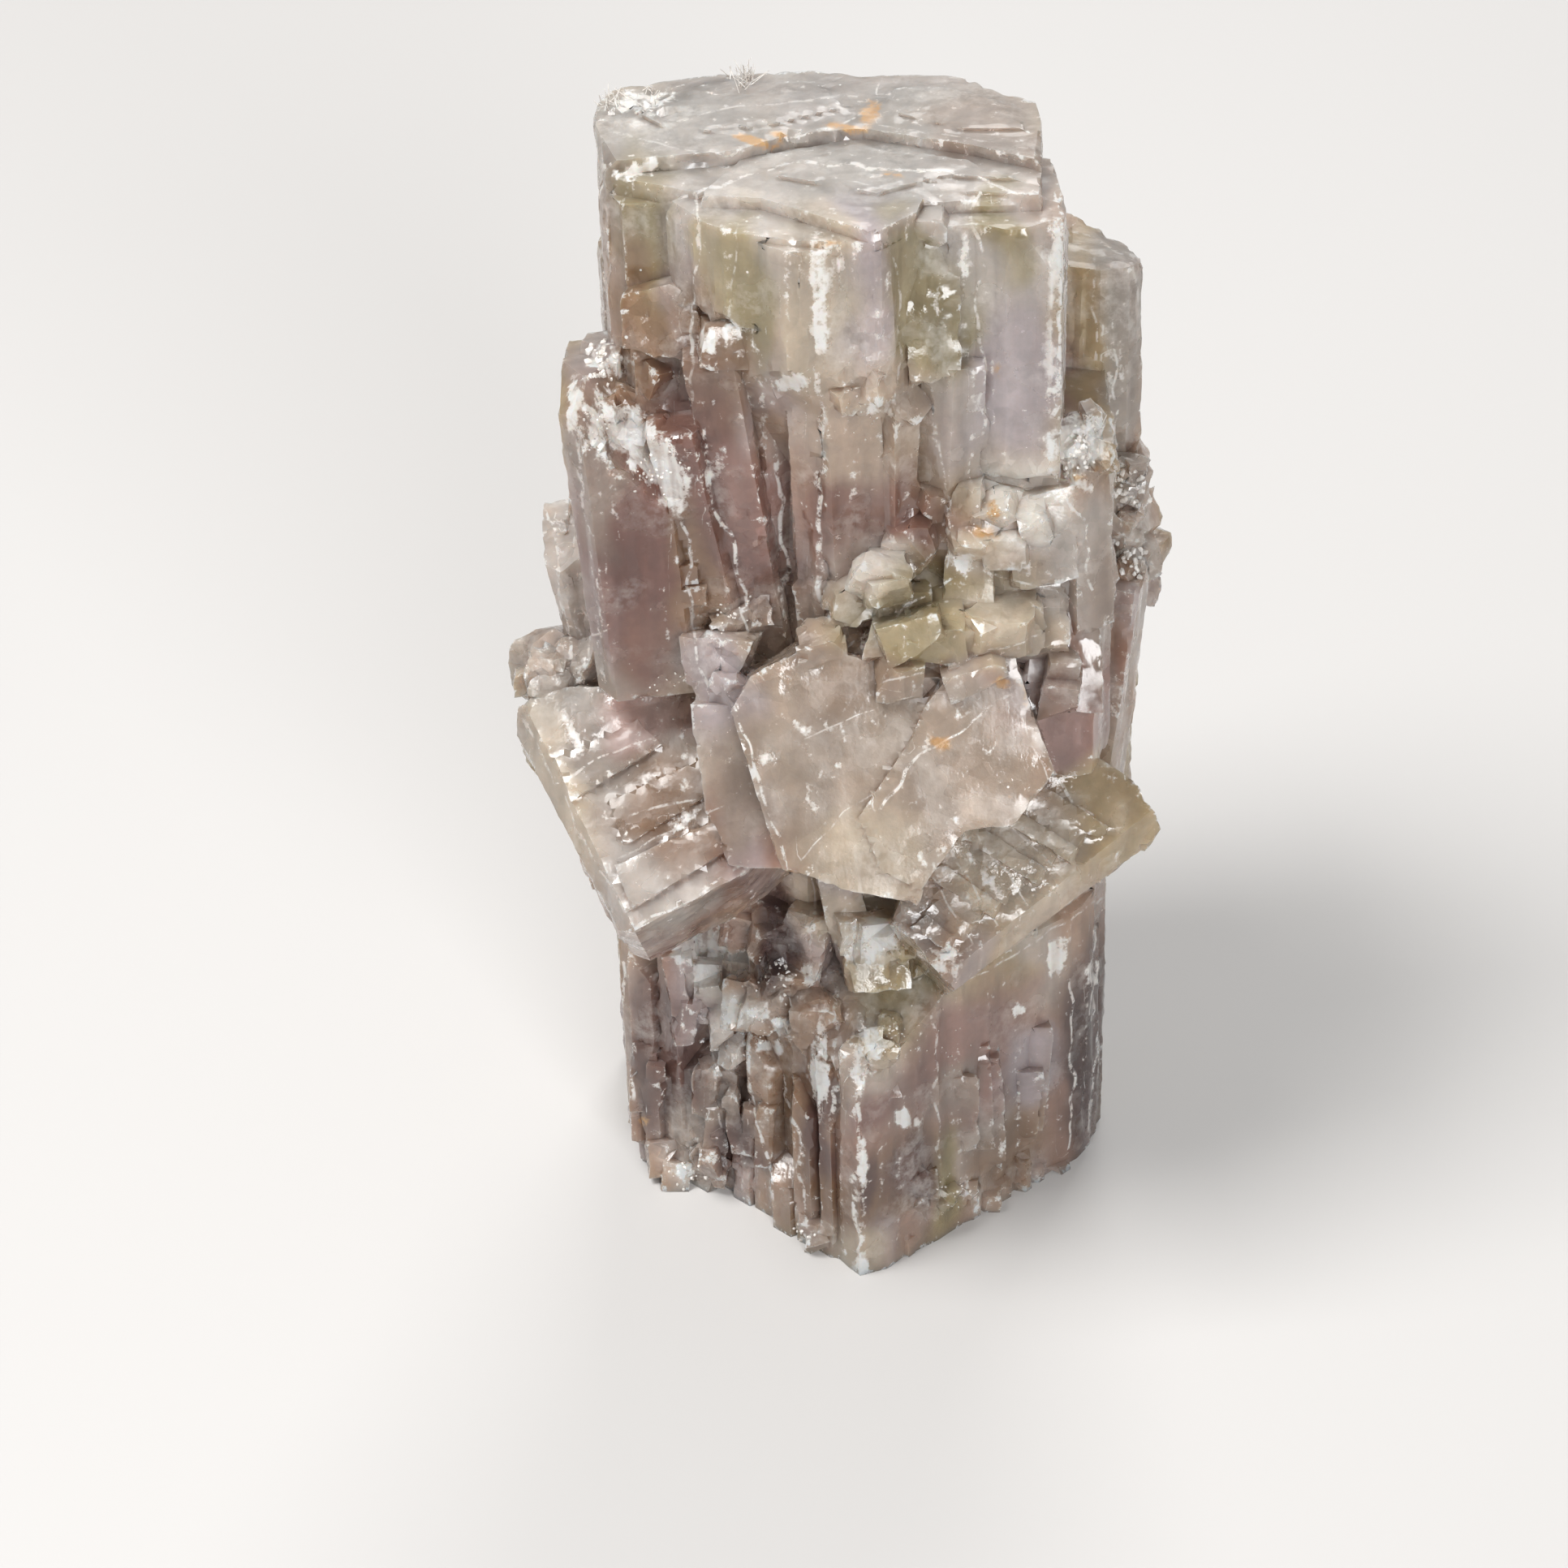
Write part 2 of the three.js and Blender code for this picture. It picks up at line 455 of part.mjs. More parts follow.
// The lower column: a six-sided twin with a corner to the front, broken and hollow above.
function lowerColumn() {
  const front = [[-1.2, -5.9], [-0.5, -6.8], [0, -7.3], [1.1, -6.9], [1.6, -6.4], [3.0, -5.5], [6.05, -2.9],
    [8.1, -1.6], [8.6, -1.2]];
  const right = [[9.1, -0.5], [9.2, 0.2], [9.6, 0.9], [9.6, 1.8], [9.4, 5.6], [6.4, 8.2], [4.0, 9.1]];
  const backLeft = [
    [-2.4, 9.4], [-6.6, 7.4], [-9.2, 4.2], [-9.0, 2.6], [-8.0, -0.2], [-4.0, -2.6], [-2.3, -4.6],
  ];
  const body = column([...front, ...right, ...backLeft], BELOW_BASE, LOWER_TOP);
  const hollowed = trimmed(body, [
    { at: [1.2, -5.2, 10.4], towards: [-0.25, -1.0, 1.05] },
    { at: [-2.6, -3.6, 10.8], towards: [-0.7, -0.7, 0.9] },
    { at: [3.6, -3.8, 11.6], towards: [0.35, -0.75, 1.2] },
  ]);
  const upper = column([
    [-3.0, -2.6], [-1.6, -3.3], [-0.4, -2.6], [1.2, -3.8], [2.4, -3.2], [4.0, -3.4], [8.4, -1.0], ...right,
    ...backLeft.slice(0, 5), [-5.6, -1.4],
  ], 8, WAIST);
  const broken = [
    placed(slab([[-1.1, -1.2], [1.0, -1.3], [1.2, 1.0], [-0.4, 1.5], [-1.3, 0.6]], 3), [1.0, -5.3, 12.7],
      { turn: 12, rise: 30 }),
    placed(slab([[-1.0, -1.4], [0.9, -1.1], [0.8, 1.5], [-0.9, 1.2]], 3), [-1.9, -4.4, 12.6],
      { turn: -24, rise: 10, roll: 12 }),
    placed(slab([[-0.7, -1.5], [0.8, -1.3], [0.7, 1.6], [-0.7, 1.4]], 3), [-0.3, -4.7, 14.6],
      { turn: 4, rise: 4, roll: -8 }),
    placed(slab([[-0.9, -1.0], [0.8, -0.9], [0.2, 1.2], [-0.7, 0.9]], 3), [1.0, -6.5, 8.2],
      { turn: 14, rise: 20, roll: 10 }),
    chunk([-3.4, -3.4, 9.6], [1.1, 0.8, 1.2], 41),
    chunk([-1.8, -4.4, 8.9], [0.9, 0.8, 1.1], 42),
    chunk([2.6, -3.9, 12.2], [1.1, 0.9, 0.9], 43),
    chunk([-2.7, -3.2, 11.4], [0.9, 0.8, 1.3], 48),
  ];
  return joined([hollowed, upper, ...broken]);
}

// Stepped rods down the left of the lower column and small ones along its foot.
function lowerRods() {
  const rods = [
    { at: [-8.1, 0.8], size: 1.5, low: 0.6, high: 13.4, lean: 0.6 },
    { at: [-7.5, -0.9], size: 1.6, low: 0.2, high: 10.6, lean: 0.5 },
    { at: [-6.6, -1.7], size: 1.3, low: -2, high: 12.4, lean: 0.4 },
    { at: [-5.7, -1.9], size: 1.6, low: -2, high: 7.2, lean: -0.8 },
    { at: [-4.8, -2.1], size: 1.2, low: -2, high: 10.4, lean: 0.4 },
    { at: [-4.1, -2.9], size: 1.2, low: -2, high: 5.2, lean: -0.6 },
    { at: [-3.2, -3.4], size: 1.3, low: -2, high: 8.0, lean: 0.7 },
    { at: [-2.5, -4.4], size: 1.3, low: -2, high: 3.0, lean: -0.4 },
    { at: [-1.7, -5.1], size: 1.1, low: -2, high: 6.8, lean: 0.8 },
    { at: [-0.9, -5.8], size: 0.9, low: -2, high: 9.2, lean: 0.3 },
  ];
  const side = [[-0.5, 0.9], [-0.62, -0.35], [-0.1, -0.75], [0.6, -0.4], [0.5, 0.9]];
  const left = rods.map(({ at, size, low, high, lean }) => cut(
    column(side.map(([x, y]) => [at[0] + size * x, at[1] + size * y]), low, high),
    [at[0], at[1], high - 0.5], [lean, -0.8, 1]));
  const crumbs = [
    chunk([-6.2, -2.2, 9.0], [0.8, 0.5, 1.3], 44),
    chunk([-4.4, -3.0, 6.8], [0.6, 0.5, 1.0], 45),
    chunk([-7.5, -1.2, 4.0], [0.8, 0.6, 1.2], 46),
    chunk([-5.4, -2.2, 2.0], [0.8, 0.6, 1.1], 47),
  ];
  const foot = ribs([1.5, -6.3], [8.3, -1.45], 9, { proud: 0.3, low: -2, high: 1.2, seed: 51 });
  const sideRibs = ribs([9.1, -0.4], [9.55, 4.8], 4, { proud: 0.25, low: -2, high: 11, seed: 52 });
  return joined([...left, ...crumbs, foot, sideRibs]);
}

// Crystals of the back: stepped columns, crossing blocks and the ribs of the long faces.
function backCrystals() {
  const steppedLeft = column([[-7.4, 7.0], [-8.5, 3.0], [-3.0, 3.0], [-2.6, 8.4]], LOWER_TOP, 31.5);
  const steppedMiddle = column([[-2.9, 8.6], [-3.0, 3.0], [2.0, 3.0], [2.4, 8.2]], LOWER_TOP, 27.4);
  const steppedRight = column([[2.2, 7.6], [2.0, 3.0], [7.8, 3.0], [8.4, 6.8], [5.4, 8.2]], LOWER_TOP, 34);
  const stepped = [
    cut(steppedLeft, [-5, 7, 30.9], [-0.2, 0.7, 0.9]),
    cut(steppedMiddle, [0, 8, 26.8], [0.3, 0.6, 0.9]),
    cut(steppedRight, [5, 7, 33.4], [0.2, 0.6, 0.8]),
    column([[3.2, 6.0], [3.0, 3.0], [7.4, 3.0], [7.2, 5.2]], 30, 38.4),
  ];
  const crossingFace = [[-3.8, -2.6], [0.4, -4.0], [3.6, -2.0], [3.8, 2.4], [0.2, 3.8], [-3.6, 2.6]];
  const crossingPlace = { turn: 168, rise: 26, roll: 14 };
  const crossingStep = slab([[-3.4, -1.8], [0.2, -3.2], [1.2, 2.8], [-3.2, 2.2]], 2);
  const crossingBlock = slab(crossingFace, 9).add(crossingStep.translate(0, -0.4, 0));
  const crossing = placed(crossingBlock, [-3.4, 10.9, 20.2], crossingPlace);
  const second = placed(slab([[-2.8, -2.4], [2.4, -2.8], [2.9, 2.0], [0.6, 2.9], [-2.4, 2.6]], 8),
    [4.6, 10.4, 24.0], { turn: 200, rise: 36, roll: -22 });
  const third = placed(slab([[-2.4, -2.0], [1.9, -2.4], [2.4, 1.6], [-1.9, 2.4]], 7),
    [5.8, 10.0, 13.4], { turn: 156, rise: 30, roll: 32 });
  const rows = [
    ribs([4.6, 4.7], [-0.7, 5.5], 4, { proud: 0.6, low: 25, high: COLUMN_TOP, seed: 61 }),
    ribs([-0.7, 5.5], [-7.4, 4.9], 5, { proud: 0.6, low: 28, high: COLUMN_TOP, seed: 62 }),
    ribs([6.4, 8.2], [4.0, 9.1], 2, { proud: 0.5, low: -2, high: 15, seed: 63 }),
    ribs([4.0, 9.1], [-2.4, 9.4], 5, { proud: 0.6, low: -2, high: 17, seed: 64 }),
    ribs([-2.4, 9.4], [-6.6, 7.4], 4, { proud: 0.6, low: -2, high: 15, seed: 65 }),
    ribs([-6.6, 7.4], [-9.2, 4.2], 3, { proud: 0.4, low: -2, high: 14, seed: 66 }),
    ribs([9.4, 5.6], [6.4, 8.2], 3, { proud: 0.5, low: -2, high: 18, seed: 67 }),
    ribs([-8.1, 3.0], [-7.6, -1.0], 3, { proud: 0.25, low: 34, high: COLUMN_TOP - 0.5, seed: 68 }),
  ];
  return joined([...stepped, crossing, second, third, ...rows]);
}

// Leans the joined crystals as they stand, cuts the foot flat and centres it.
function standing(cluster) {
  const leaned = cluster.rotate([-LEAN_BACK, -LEAN_LEFT, 0]);
  const stood = cut(leaned, [0, 0, 0], [0, 0, -1]);
  const { min, max } = stood.boundingBox();
  return stood.translate(-(min[0] + max[0]) / 2, -(min[1] + max[1]) / 2, -min[2]);
}

const cluster = joined([
  mainColumn(),
  frontBlocks(),
  frontGroove(),
  leftCrystal(),
  clearSlab(),
  clearLump(),
  lowerLeftBlock(),
  frontPlate(),
  plateLayers(),
  rightWaist(),
  rightColumn(),
  lowerRightBlock(),
  lowerColumn(),
  lowerRods(),
  backCrystals(),
]);

const aragonite = new THREE.Mesh(geometryOf(standing(cluster)), new THREE.MeshStandardMaterial(STONE));
aragonite.name = "aragonite_cluster";

const group = new THREE.Group();
group.add(aragonite);

export default group;
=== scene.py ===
"""Raw aragonite: the finish of a cluster of twinned crystals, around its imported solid."""

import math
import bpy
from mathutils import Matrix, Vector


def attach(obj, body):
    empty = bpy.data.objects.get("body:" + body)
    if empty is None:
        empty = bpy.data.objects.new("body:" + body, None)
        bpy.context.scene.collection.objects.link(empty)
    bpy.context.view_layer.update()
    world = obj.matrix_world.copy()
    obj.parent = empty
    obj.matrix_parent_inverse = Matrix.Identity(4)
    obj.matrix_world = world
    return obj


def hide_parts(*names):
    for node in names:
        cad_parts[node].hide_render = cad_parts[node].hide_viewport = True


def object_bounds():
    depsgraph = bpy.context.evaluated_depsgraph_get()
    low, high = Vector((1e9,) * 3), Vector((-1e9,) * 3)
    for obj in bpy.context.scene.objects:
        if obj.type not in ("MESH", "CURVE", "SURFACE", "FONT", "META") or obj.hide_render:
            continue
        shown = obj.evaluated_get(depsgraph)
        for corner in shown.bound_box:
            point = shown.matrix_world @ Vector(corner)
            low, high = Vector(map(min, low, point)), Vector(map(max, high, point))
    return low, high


bl_info = {
    "name": "Raw aragonite",
    "version": (1, 0, 0),
    "blender": (4, 5, 0),
    "location": "View3D > Sidebar > Aragonite",
    "description": "Gives the aragonite cluster its crystal surface, its colours and a plain studio",
    "category": "Object",
}

import bpy
import numpy as np
from bpy.props import FloatProperty, FloatVectorProperty, IntProperty, PointerProperty
from mathutils import Euler, Matrix, Vector, noise
from mathutils.bvhtree import BVHTree
from mathutils.kdtree import KDTree

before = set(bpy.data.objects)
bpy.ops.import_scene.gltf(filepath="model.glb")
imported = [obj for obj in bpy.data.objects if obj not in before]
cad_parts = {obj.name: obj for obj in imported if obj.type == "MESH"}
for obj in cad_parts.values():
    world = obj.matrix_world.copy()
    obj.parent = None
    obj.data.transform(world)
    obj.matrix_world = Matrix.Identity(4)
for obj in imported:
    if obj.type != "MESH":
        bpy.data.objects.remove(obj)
CAD_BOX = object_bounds()
CAD_LOW, CAD_HIGH = (np.array(corner) for corner in CAD_BOX)

MM = 0.001
NODE = "aragonite_cluster"
BODY = "root"

# The main column's own frame: it leans back and to the left, and its axis meets the table here.
COLUMN_LEAN = Euler((math.radians(-7.4), math.radians(-1.7), 0)).to_matrix()
COLUMN_FOOT = Vector((0.78, -3.98, 0)) * MM

# The photograph: its size and focal length in pixels, and the camera's place and pitch.
PHOTO_SIZE = 1932
PHOTO_FOCAL = 5064
CAMERA_AT = Vector((-2.12, -114.98, 118.5)) * MM
CAMERA_PITCH = math.radians(42)
SENSOR = 36

# How far crumbs and fibres may stand out of the solid's box, and how far they stay off the table.
CRUMB_STAND = 0.45 * MM
CRUMB_LIFT = 0.05 * MM

# Sizes in mm of what weathers the surface, measured across the columns.
ROD_WIDTH = 1.1
THREAD_WIDTH = 0.42
COARSE_FACET = 1.7
SMALL_FACET = 0.75
CHIP_LENGTH = 0.8
GRAIN_SIZE = 0.45

# The foot stays flat: nothing moves below the first height, and all of it moves above the second.
FOOT_HEIGHTS = (0.1 * MM, 0.8 * MM)

# Sizes in mm of what varies the colour.
WARP_SIZE = 1.8
WARP_DEPTH = 0.9
CLOUD_SIZE = 5.0
PATCH_SIZE = 2.6
STREAK_WIDTH = 0.7
MOTTLE_SIZE = 1.9
TONE_FACET = 1.3

# How many waves the textures of the stone have in a millimetre, and how deep the bump is.
FINE_PER_MM = 2.3
CLOUD_PER_MM = 0.55
LINES_PER_MM = 2.0
FLAKES_PER_MM = 1.9
CRUMB_LINES_PER_MM = 3.0
FLOOR_PER_MM = 0.02
BUMP_DEPTH = 0.14 * MM

# Vertices of the solid that lie this close together are merged.
MERGE_WITHIN = 0.0005 * MM

# Edges that turn by more than this stay sharp.
CREASE = math.radians(24)

# How many planes cut a block that is one across, and how far from its middle.
BLOCK_CUTS = 4
BLOCK_CUT_REACH = (0.42, 0.6)

# How many times at most a crumb looks for ground near its pixel.
TRIES = 20

# What a vertex away from every light line is given: how far off it is, in mm and in line widths.
FAR_MM = 99.0
FAR_WIDTHS = 9.0

# A vertex counts as seen where the first thing in its way is nearer to it than this.
SIGHT_SLACK = 0.1 * MM

# Rays that find the hidden sides start this far out.
HIDDEN_REACH = 60 * MM


def srgb(red, green, blue):
    """A colour given as it looks on screen, from 0 to 255, as linear light."""
    return tuple(
        part / 255 / 12.92 if part <= 10 else ((part / 255 + 0.055) / 1.055) ** 2.4
        for part in (red, green, blue)
    )


# The colours of the stone, by the names that the zones below use.
TINTS = {
    "beige": srgb(182, 161, 142),
    "pale": srgb(194, 186, 178),
    "lilac": srgb(172, 161, 163),
    "pink": srgb(183, 150, 141),
    "rose": srgb(146, 111, 102),
    "taupe": srgb(153, 137, 125),
    "olive": srgb(150, 136, 97),
    "green": srgb(168, 153, 120),
    "brown": srgb(140, 111, 87),
    "purple": srgb(116, 77, 67),
    # The dark tint is also what the painted shade in hollows and creases darkens toward.
    "dark": srgb(98, 71, 66),
    "deep": srgb(69, 49, 48),
    "cream": srgb(197, 182, 161),
    "grey": srgb(160, 151, 141),
    "white": srgb(217, 209, 199),
    "sand": srgb(186, 166, 129),
    "silver": srgb(163, 158, 152),
    "bone": srgb(173, 157, 141),
}

# Where the photograph shows each colour: tint, pixel, reach across and along in mm, turn in
# degrees.
COLOUR_ZONES = [
    ("silver", (1000, 150), (8, 6), 0),
    ("silver", (820, 160), (2.4, 1.6), 0),
    ("taupe", (1210, 150), (2, 1), 0),
    ("silver", (1020, 225), (3.2, 1.4), 0),
    ("pale", (900, 250), (3, 1.6), 10),
    ("pale", (1230, 380), (2, 5.6), 0),
    ("lilac", (1250, 470), (1.7, 3.4), 0),
    ("cream", (1060, 430), (2.6, 3.4), 0),
    ("lilac", (1060, 360), (1.5, 3.2), 0),
    ("cream", (1010, 350), (1.2, 3), 0),
    ("olive", (925, 365), (0.85, 2.8), 0),
    ("olive", (1117, 322), (0.95, 1.3), 0),
    ("olive", (1152, 392), (1.25, 1.8), 12),
    ("olive", (790, 300), (1, 3), 0),
    ("olive", (1230, 270), (0.8, 1.6), 0),
    ("green", (875, 330), (0.8, 1.6), 0),
    ("brown", (785, 430), (1.3, 3.6), -6),
    ("brown", (880, 470), (1.3, 3.2), -6),
    ("purple", (880, 590), (2, 4.4), -8),
    ("dark", (945, 720), (1.6, 3.4), -5),
    ("purple", (1075, 640), (2.6, 2.8), 0),
    ("rose", (930, 610), (1.3, 2), 0),
    ("beige", (1060, 520), (2.2, 2.2), 0),
    ("white", (1080, 730), (2, 1.4), 40),
    ("purple", (790, 650), (2.2, 3.4), -6),
    ("purple", (790, 740), (2, 4.2), -6),
    ("taupe", (735, 600), (0.8, 2.6), 0),
    ("brown", (860, 720), (0.8, 4), -6),
    ("pale", (700, 720), (1.2, 4.4), -10),
    ("taupe", (675, 820), (1.8, 1.8), 0),
    ("grey", (720, 930), (3.2, 3.4), 0),
    ("pink", (800, 870), (1.8, 1.3), 20),
    ("cream", (690, 980), (1, 4), -28),
    ("brown", (820, 1010), (2.2, 1.6), 0),
    ("pale", (800, 1110), (2.6, 1.5), 30),
    ("bone", (1000, 900), (4.2, 4), 0),
    ("brown", (1075, 880), (2, 2.6), 0),
    ("bone", (1150, 960), (4.4, 3.6), 0),
    ("cream", (1080, 1060), (2.4, 1.8), 0),
    ("taupe", (905, 980), (1, 2.6), 0),
    ("lilac", (885, 850), (1.4, 1.6), 0),
    ("olive", (1160, 760), (3.6, 1.6), 0),
    ("cream", (1260, 780), (2.4, 1.6), 0),
    ("white", (1265, 640), (1.5, 1.8), 0),
    ("cream", (1195, 680), (1, 1), 0),
    ("pale", (1340, 700), (1.2, 3), 0),
    ("sand", (1345, 400), (1, 6), 0),
    ("grey", (1385, 400), (0.9, 6.5), 0),
    ("taupe", (1370, 760), (1.4, 3.6), 0),
    ("rose", (1340, 900), (2, 2.6), 0),
    ("cream", (1250, 1060), (3, 2.4), 40),
    ("sand", (1380, 1000), (2, 2.4), 40),
    ("sand", (1220, 1200), (2.4, 1.2), 40),
    # Under the plate: painted light in the white and cream zones, on stone that lies in shade, and
    # painted shade in the deep zone, in the recess.
    ("white", (900, 1200), (1.4, 1.4), 0),
    ("cream", (1030, 1125), (2.2, 1.2), 0),
    ("deep", (950, 1170), (0.9, 1.5), 0),
    ("green", (1100, 1210), (2, 2.4), 0),
    ("rose", (1200, 1300), (3, 3.6), 0),
    ("lilac", (1270, 1320), (1.2, 1.8), 0),
    ("brown", (1240, 1420), (1.6, 1.6), 0),
    ("brown", (1120, 1440), (2.2, 2), 0),
    ("olive", (1160, 1470), (0.7, 2.8), 0),
    ("brown", (980, 1340), (1.8, 4.4), 0),
    ("dark", (1010, 1420), (0.7, 3.6), 0),
    ("dark", (812, 1300), (1.5, 3.8), 0),
    ("taupe", (880, 1400), (1.4, 2.8), 0),
    ("pale", (900, 1290), (0.8, 2), 0),
    ("taupe", (1180, 1340), (1, 1.4), 0),
    ("deep", (1342, 1290), (1.2, 5.4), 0),
    ("brown", (1040, 1485), (2.4, 1.4), 0),
    ("cream", (1060, 1545), (1.2, 1), 0),
    ("dark", (1125, 1440), (1, 1.8), 0),
    ("rose", (1080, 1360), (0.9, 1), 0),
    # Painted shade in the recess under the plate.
    ("deep", (955, 1150), (0.9, 1.1), 0),
    ("beige", (1030, 1240), (0.6, 0.9), 0),
    # Painted glints in the lower hollow: this pale zone and the white one below it.
    ("pale", (905, 1250), (0.9, 0.7), 0),
    ("white", (1075, 1165), (1.1, 0.8), 0),
    ("dark", (905, 1420), (0.8, 1.4), 0),
    ("dark", (1075, 1460), (0.4, 1.4), 0),
]

# White bruises, where the stone is crazed, and painted glints in the lower hollow: pixel, reach
# across and along in mm, turn, strength.
BRUISES_AND_GLINTS = [
    # The first five are painted glints in the lower hollow.
    ((848, 1165), (0.5, 1), 8, 1),
    ((905, 1245), (0.7, 0.5), 20, 1),
    ((1008, 1330), (0.35, 0.9), 0, 0.95),
    ((955, 1290), (0.5, 0.3), 0, 0.95),
    ((1000, 1200), (0.4, 0.5), 0, 0.9),
    ((1175, 1180), (0.4, 0.5), 20, 0.9),
    ((1120, 1380), (0.5, 0.25), 20, 0.9),
    ((1255, 1245), (0.3, 0.2), 0, 0.8),
    ((735, 530), (0.55, 1.1), -20, 0.85),
    ((795, 552), (2.2, 0.75), 42, 1),
    ((826, 598), (1, 0.6), 50, 1),
    ((707, 495), (0.25, 0.9), 0, 0.9),
    ((770, 510), (0.8, 0.5), 20, 0.7),
    ((750, 445), (0.7, 0.5), 20, 0.8),
    ((785, 210), (0.9, 0.22), -22, 0.9),
    ((790, 125), (1.3, 0.35), -12, 0.75),
    ((1010, 330), (0.9, 1.4), 8, 0.5),
    ((1010, 400), (0.4, 1), 0, 0.5),
    ((975, 470), (0.5, 0.3), 0, 0.8),
    ((1090, 500), (0.6, 0.4), 0, 0.7),
    ((1297, 330), (0.3, 1.6), 0, 0.9),
    ((1292, 440), (0.3, 1.6), 0, 0.75),
    ((1190, 320), (0.3, 0.8), 0, 0.7),
    ((1335, 545), (1.1, 1), 0, 1),
    ((1322, 590), (0.8, 0.25), 25, 0.8),
    ((870, 420), (0.5, 0.4), 0, 0.75),
    ((902, 408), (0.5, 0.3), 0, 0.7),
    # Painted glints in the lower hollow, with crazed stone among them, down to the one at (1072,
    # 1290).
    ((880, 1160), (0.35, 0.7), 0, 1),
    ((868, 1200), (0.4, 0.7), 15, 1),
    ((935, 1250), (0.4, 0.3), 30, 1),
    ((968, 1265), (0.55, 0.4), 40, 1),
    ((1078, 1150), (0.9, 0.6), 20, 0.95),
    ((1062, 1175), (0.6, 0.5), 0, 0.9),
    ((1072, 1290), (0.55, 0.75), 20, 1),
    ((1058, 1320), (0.35, 0.5), 0, 0.9),
    ((1012, 1280), (0.2, 1.3), 0, 0.8),
    ((1110, 1375), (0.35, 0.3), 0, 0.9),
    ((1062, 1430), (0.2, 0.9), 0, 0.8),
    ((1300, 1180), (0.3, 0.8), 12, 1),
    ((1345, 1200), (0.2, 0.6), 0, 0.8),
    ((1260, 700), (0.9, 0.3), 0, 0.6),
    ((880, 575), (0.35, 0.8), 25, 0.6),
    ((1190, 690), (0.4, 0.4), 0, 0.75),
    ((700, 890), (1.1, 0.2), 66, 0.7),
    ((845, 1010), (0.7, 0.25), -40, 0.7),
    ((940, 935), (0.5, 0.2), 0, 0.7),
    ((1170, 1195), (0.6, 0.3), 30, 0.8),
    ((1215, 1080), (0.2, 0.9), -35, 0.7),
    ((840, 1440), (0.5, 0.3), 0, 0.8),
    ((1060, 1560), (0.4, 0.4), 0, 0.8),
    ((1200, 1480), (0.9, 0.25), 60, 0.6),
    ((990, 1530), (0.2, 0.3), 0, 0.9),
]

# Rust-coloured stains: pixel, reach across and along in mm, turn, strength.
STAINS = [
    ((932, 174), (0.9, 0.16), 15, 1),
    ((962, 166), (0.4, 0.12), 5, 0.8),
    ((1045, 158), (0.9, 0.14), 10, 0.85),
    ((1072, 138), (0.3, 0.55), 25, 0.9),
    ((1100, 215), (0.4, 0.14), 10, 0.7),
    ((1018, 300), (0.5, 0.12), -8, 0.7),
    ((1224, 630), (0.25, 0.35), 0, 1),
    ((1216, 655), (0.5, 0.22), 0, 1),
    ((1228, 455), (0.12, 0.3), 0, 0.8),
    ((1158, 915), (0.4, 0.22), 20, 0.9),
    ((1235, 841), (0.3, 0.25), 0, 1),
    ((1262, 858), (0.14, 0.5), 0, 0.7),
    ((1245, 985), (0.2, 0.12), 0, 0.7),
    ((792, 1382), (0.16, 0.2), 0, 0.9),
    ((1330, 588), (0.3, 0.14), 0, 0.8),
    ((1350, 575), (0.2, 0.2), 0, 0.7),
]

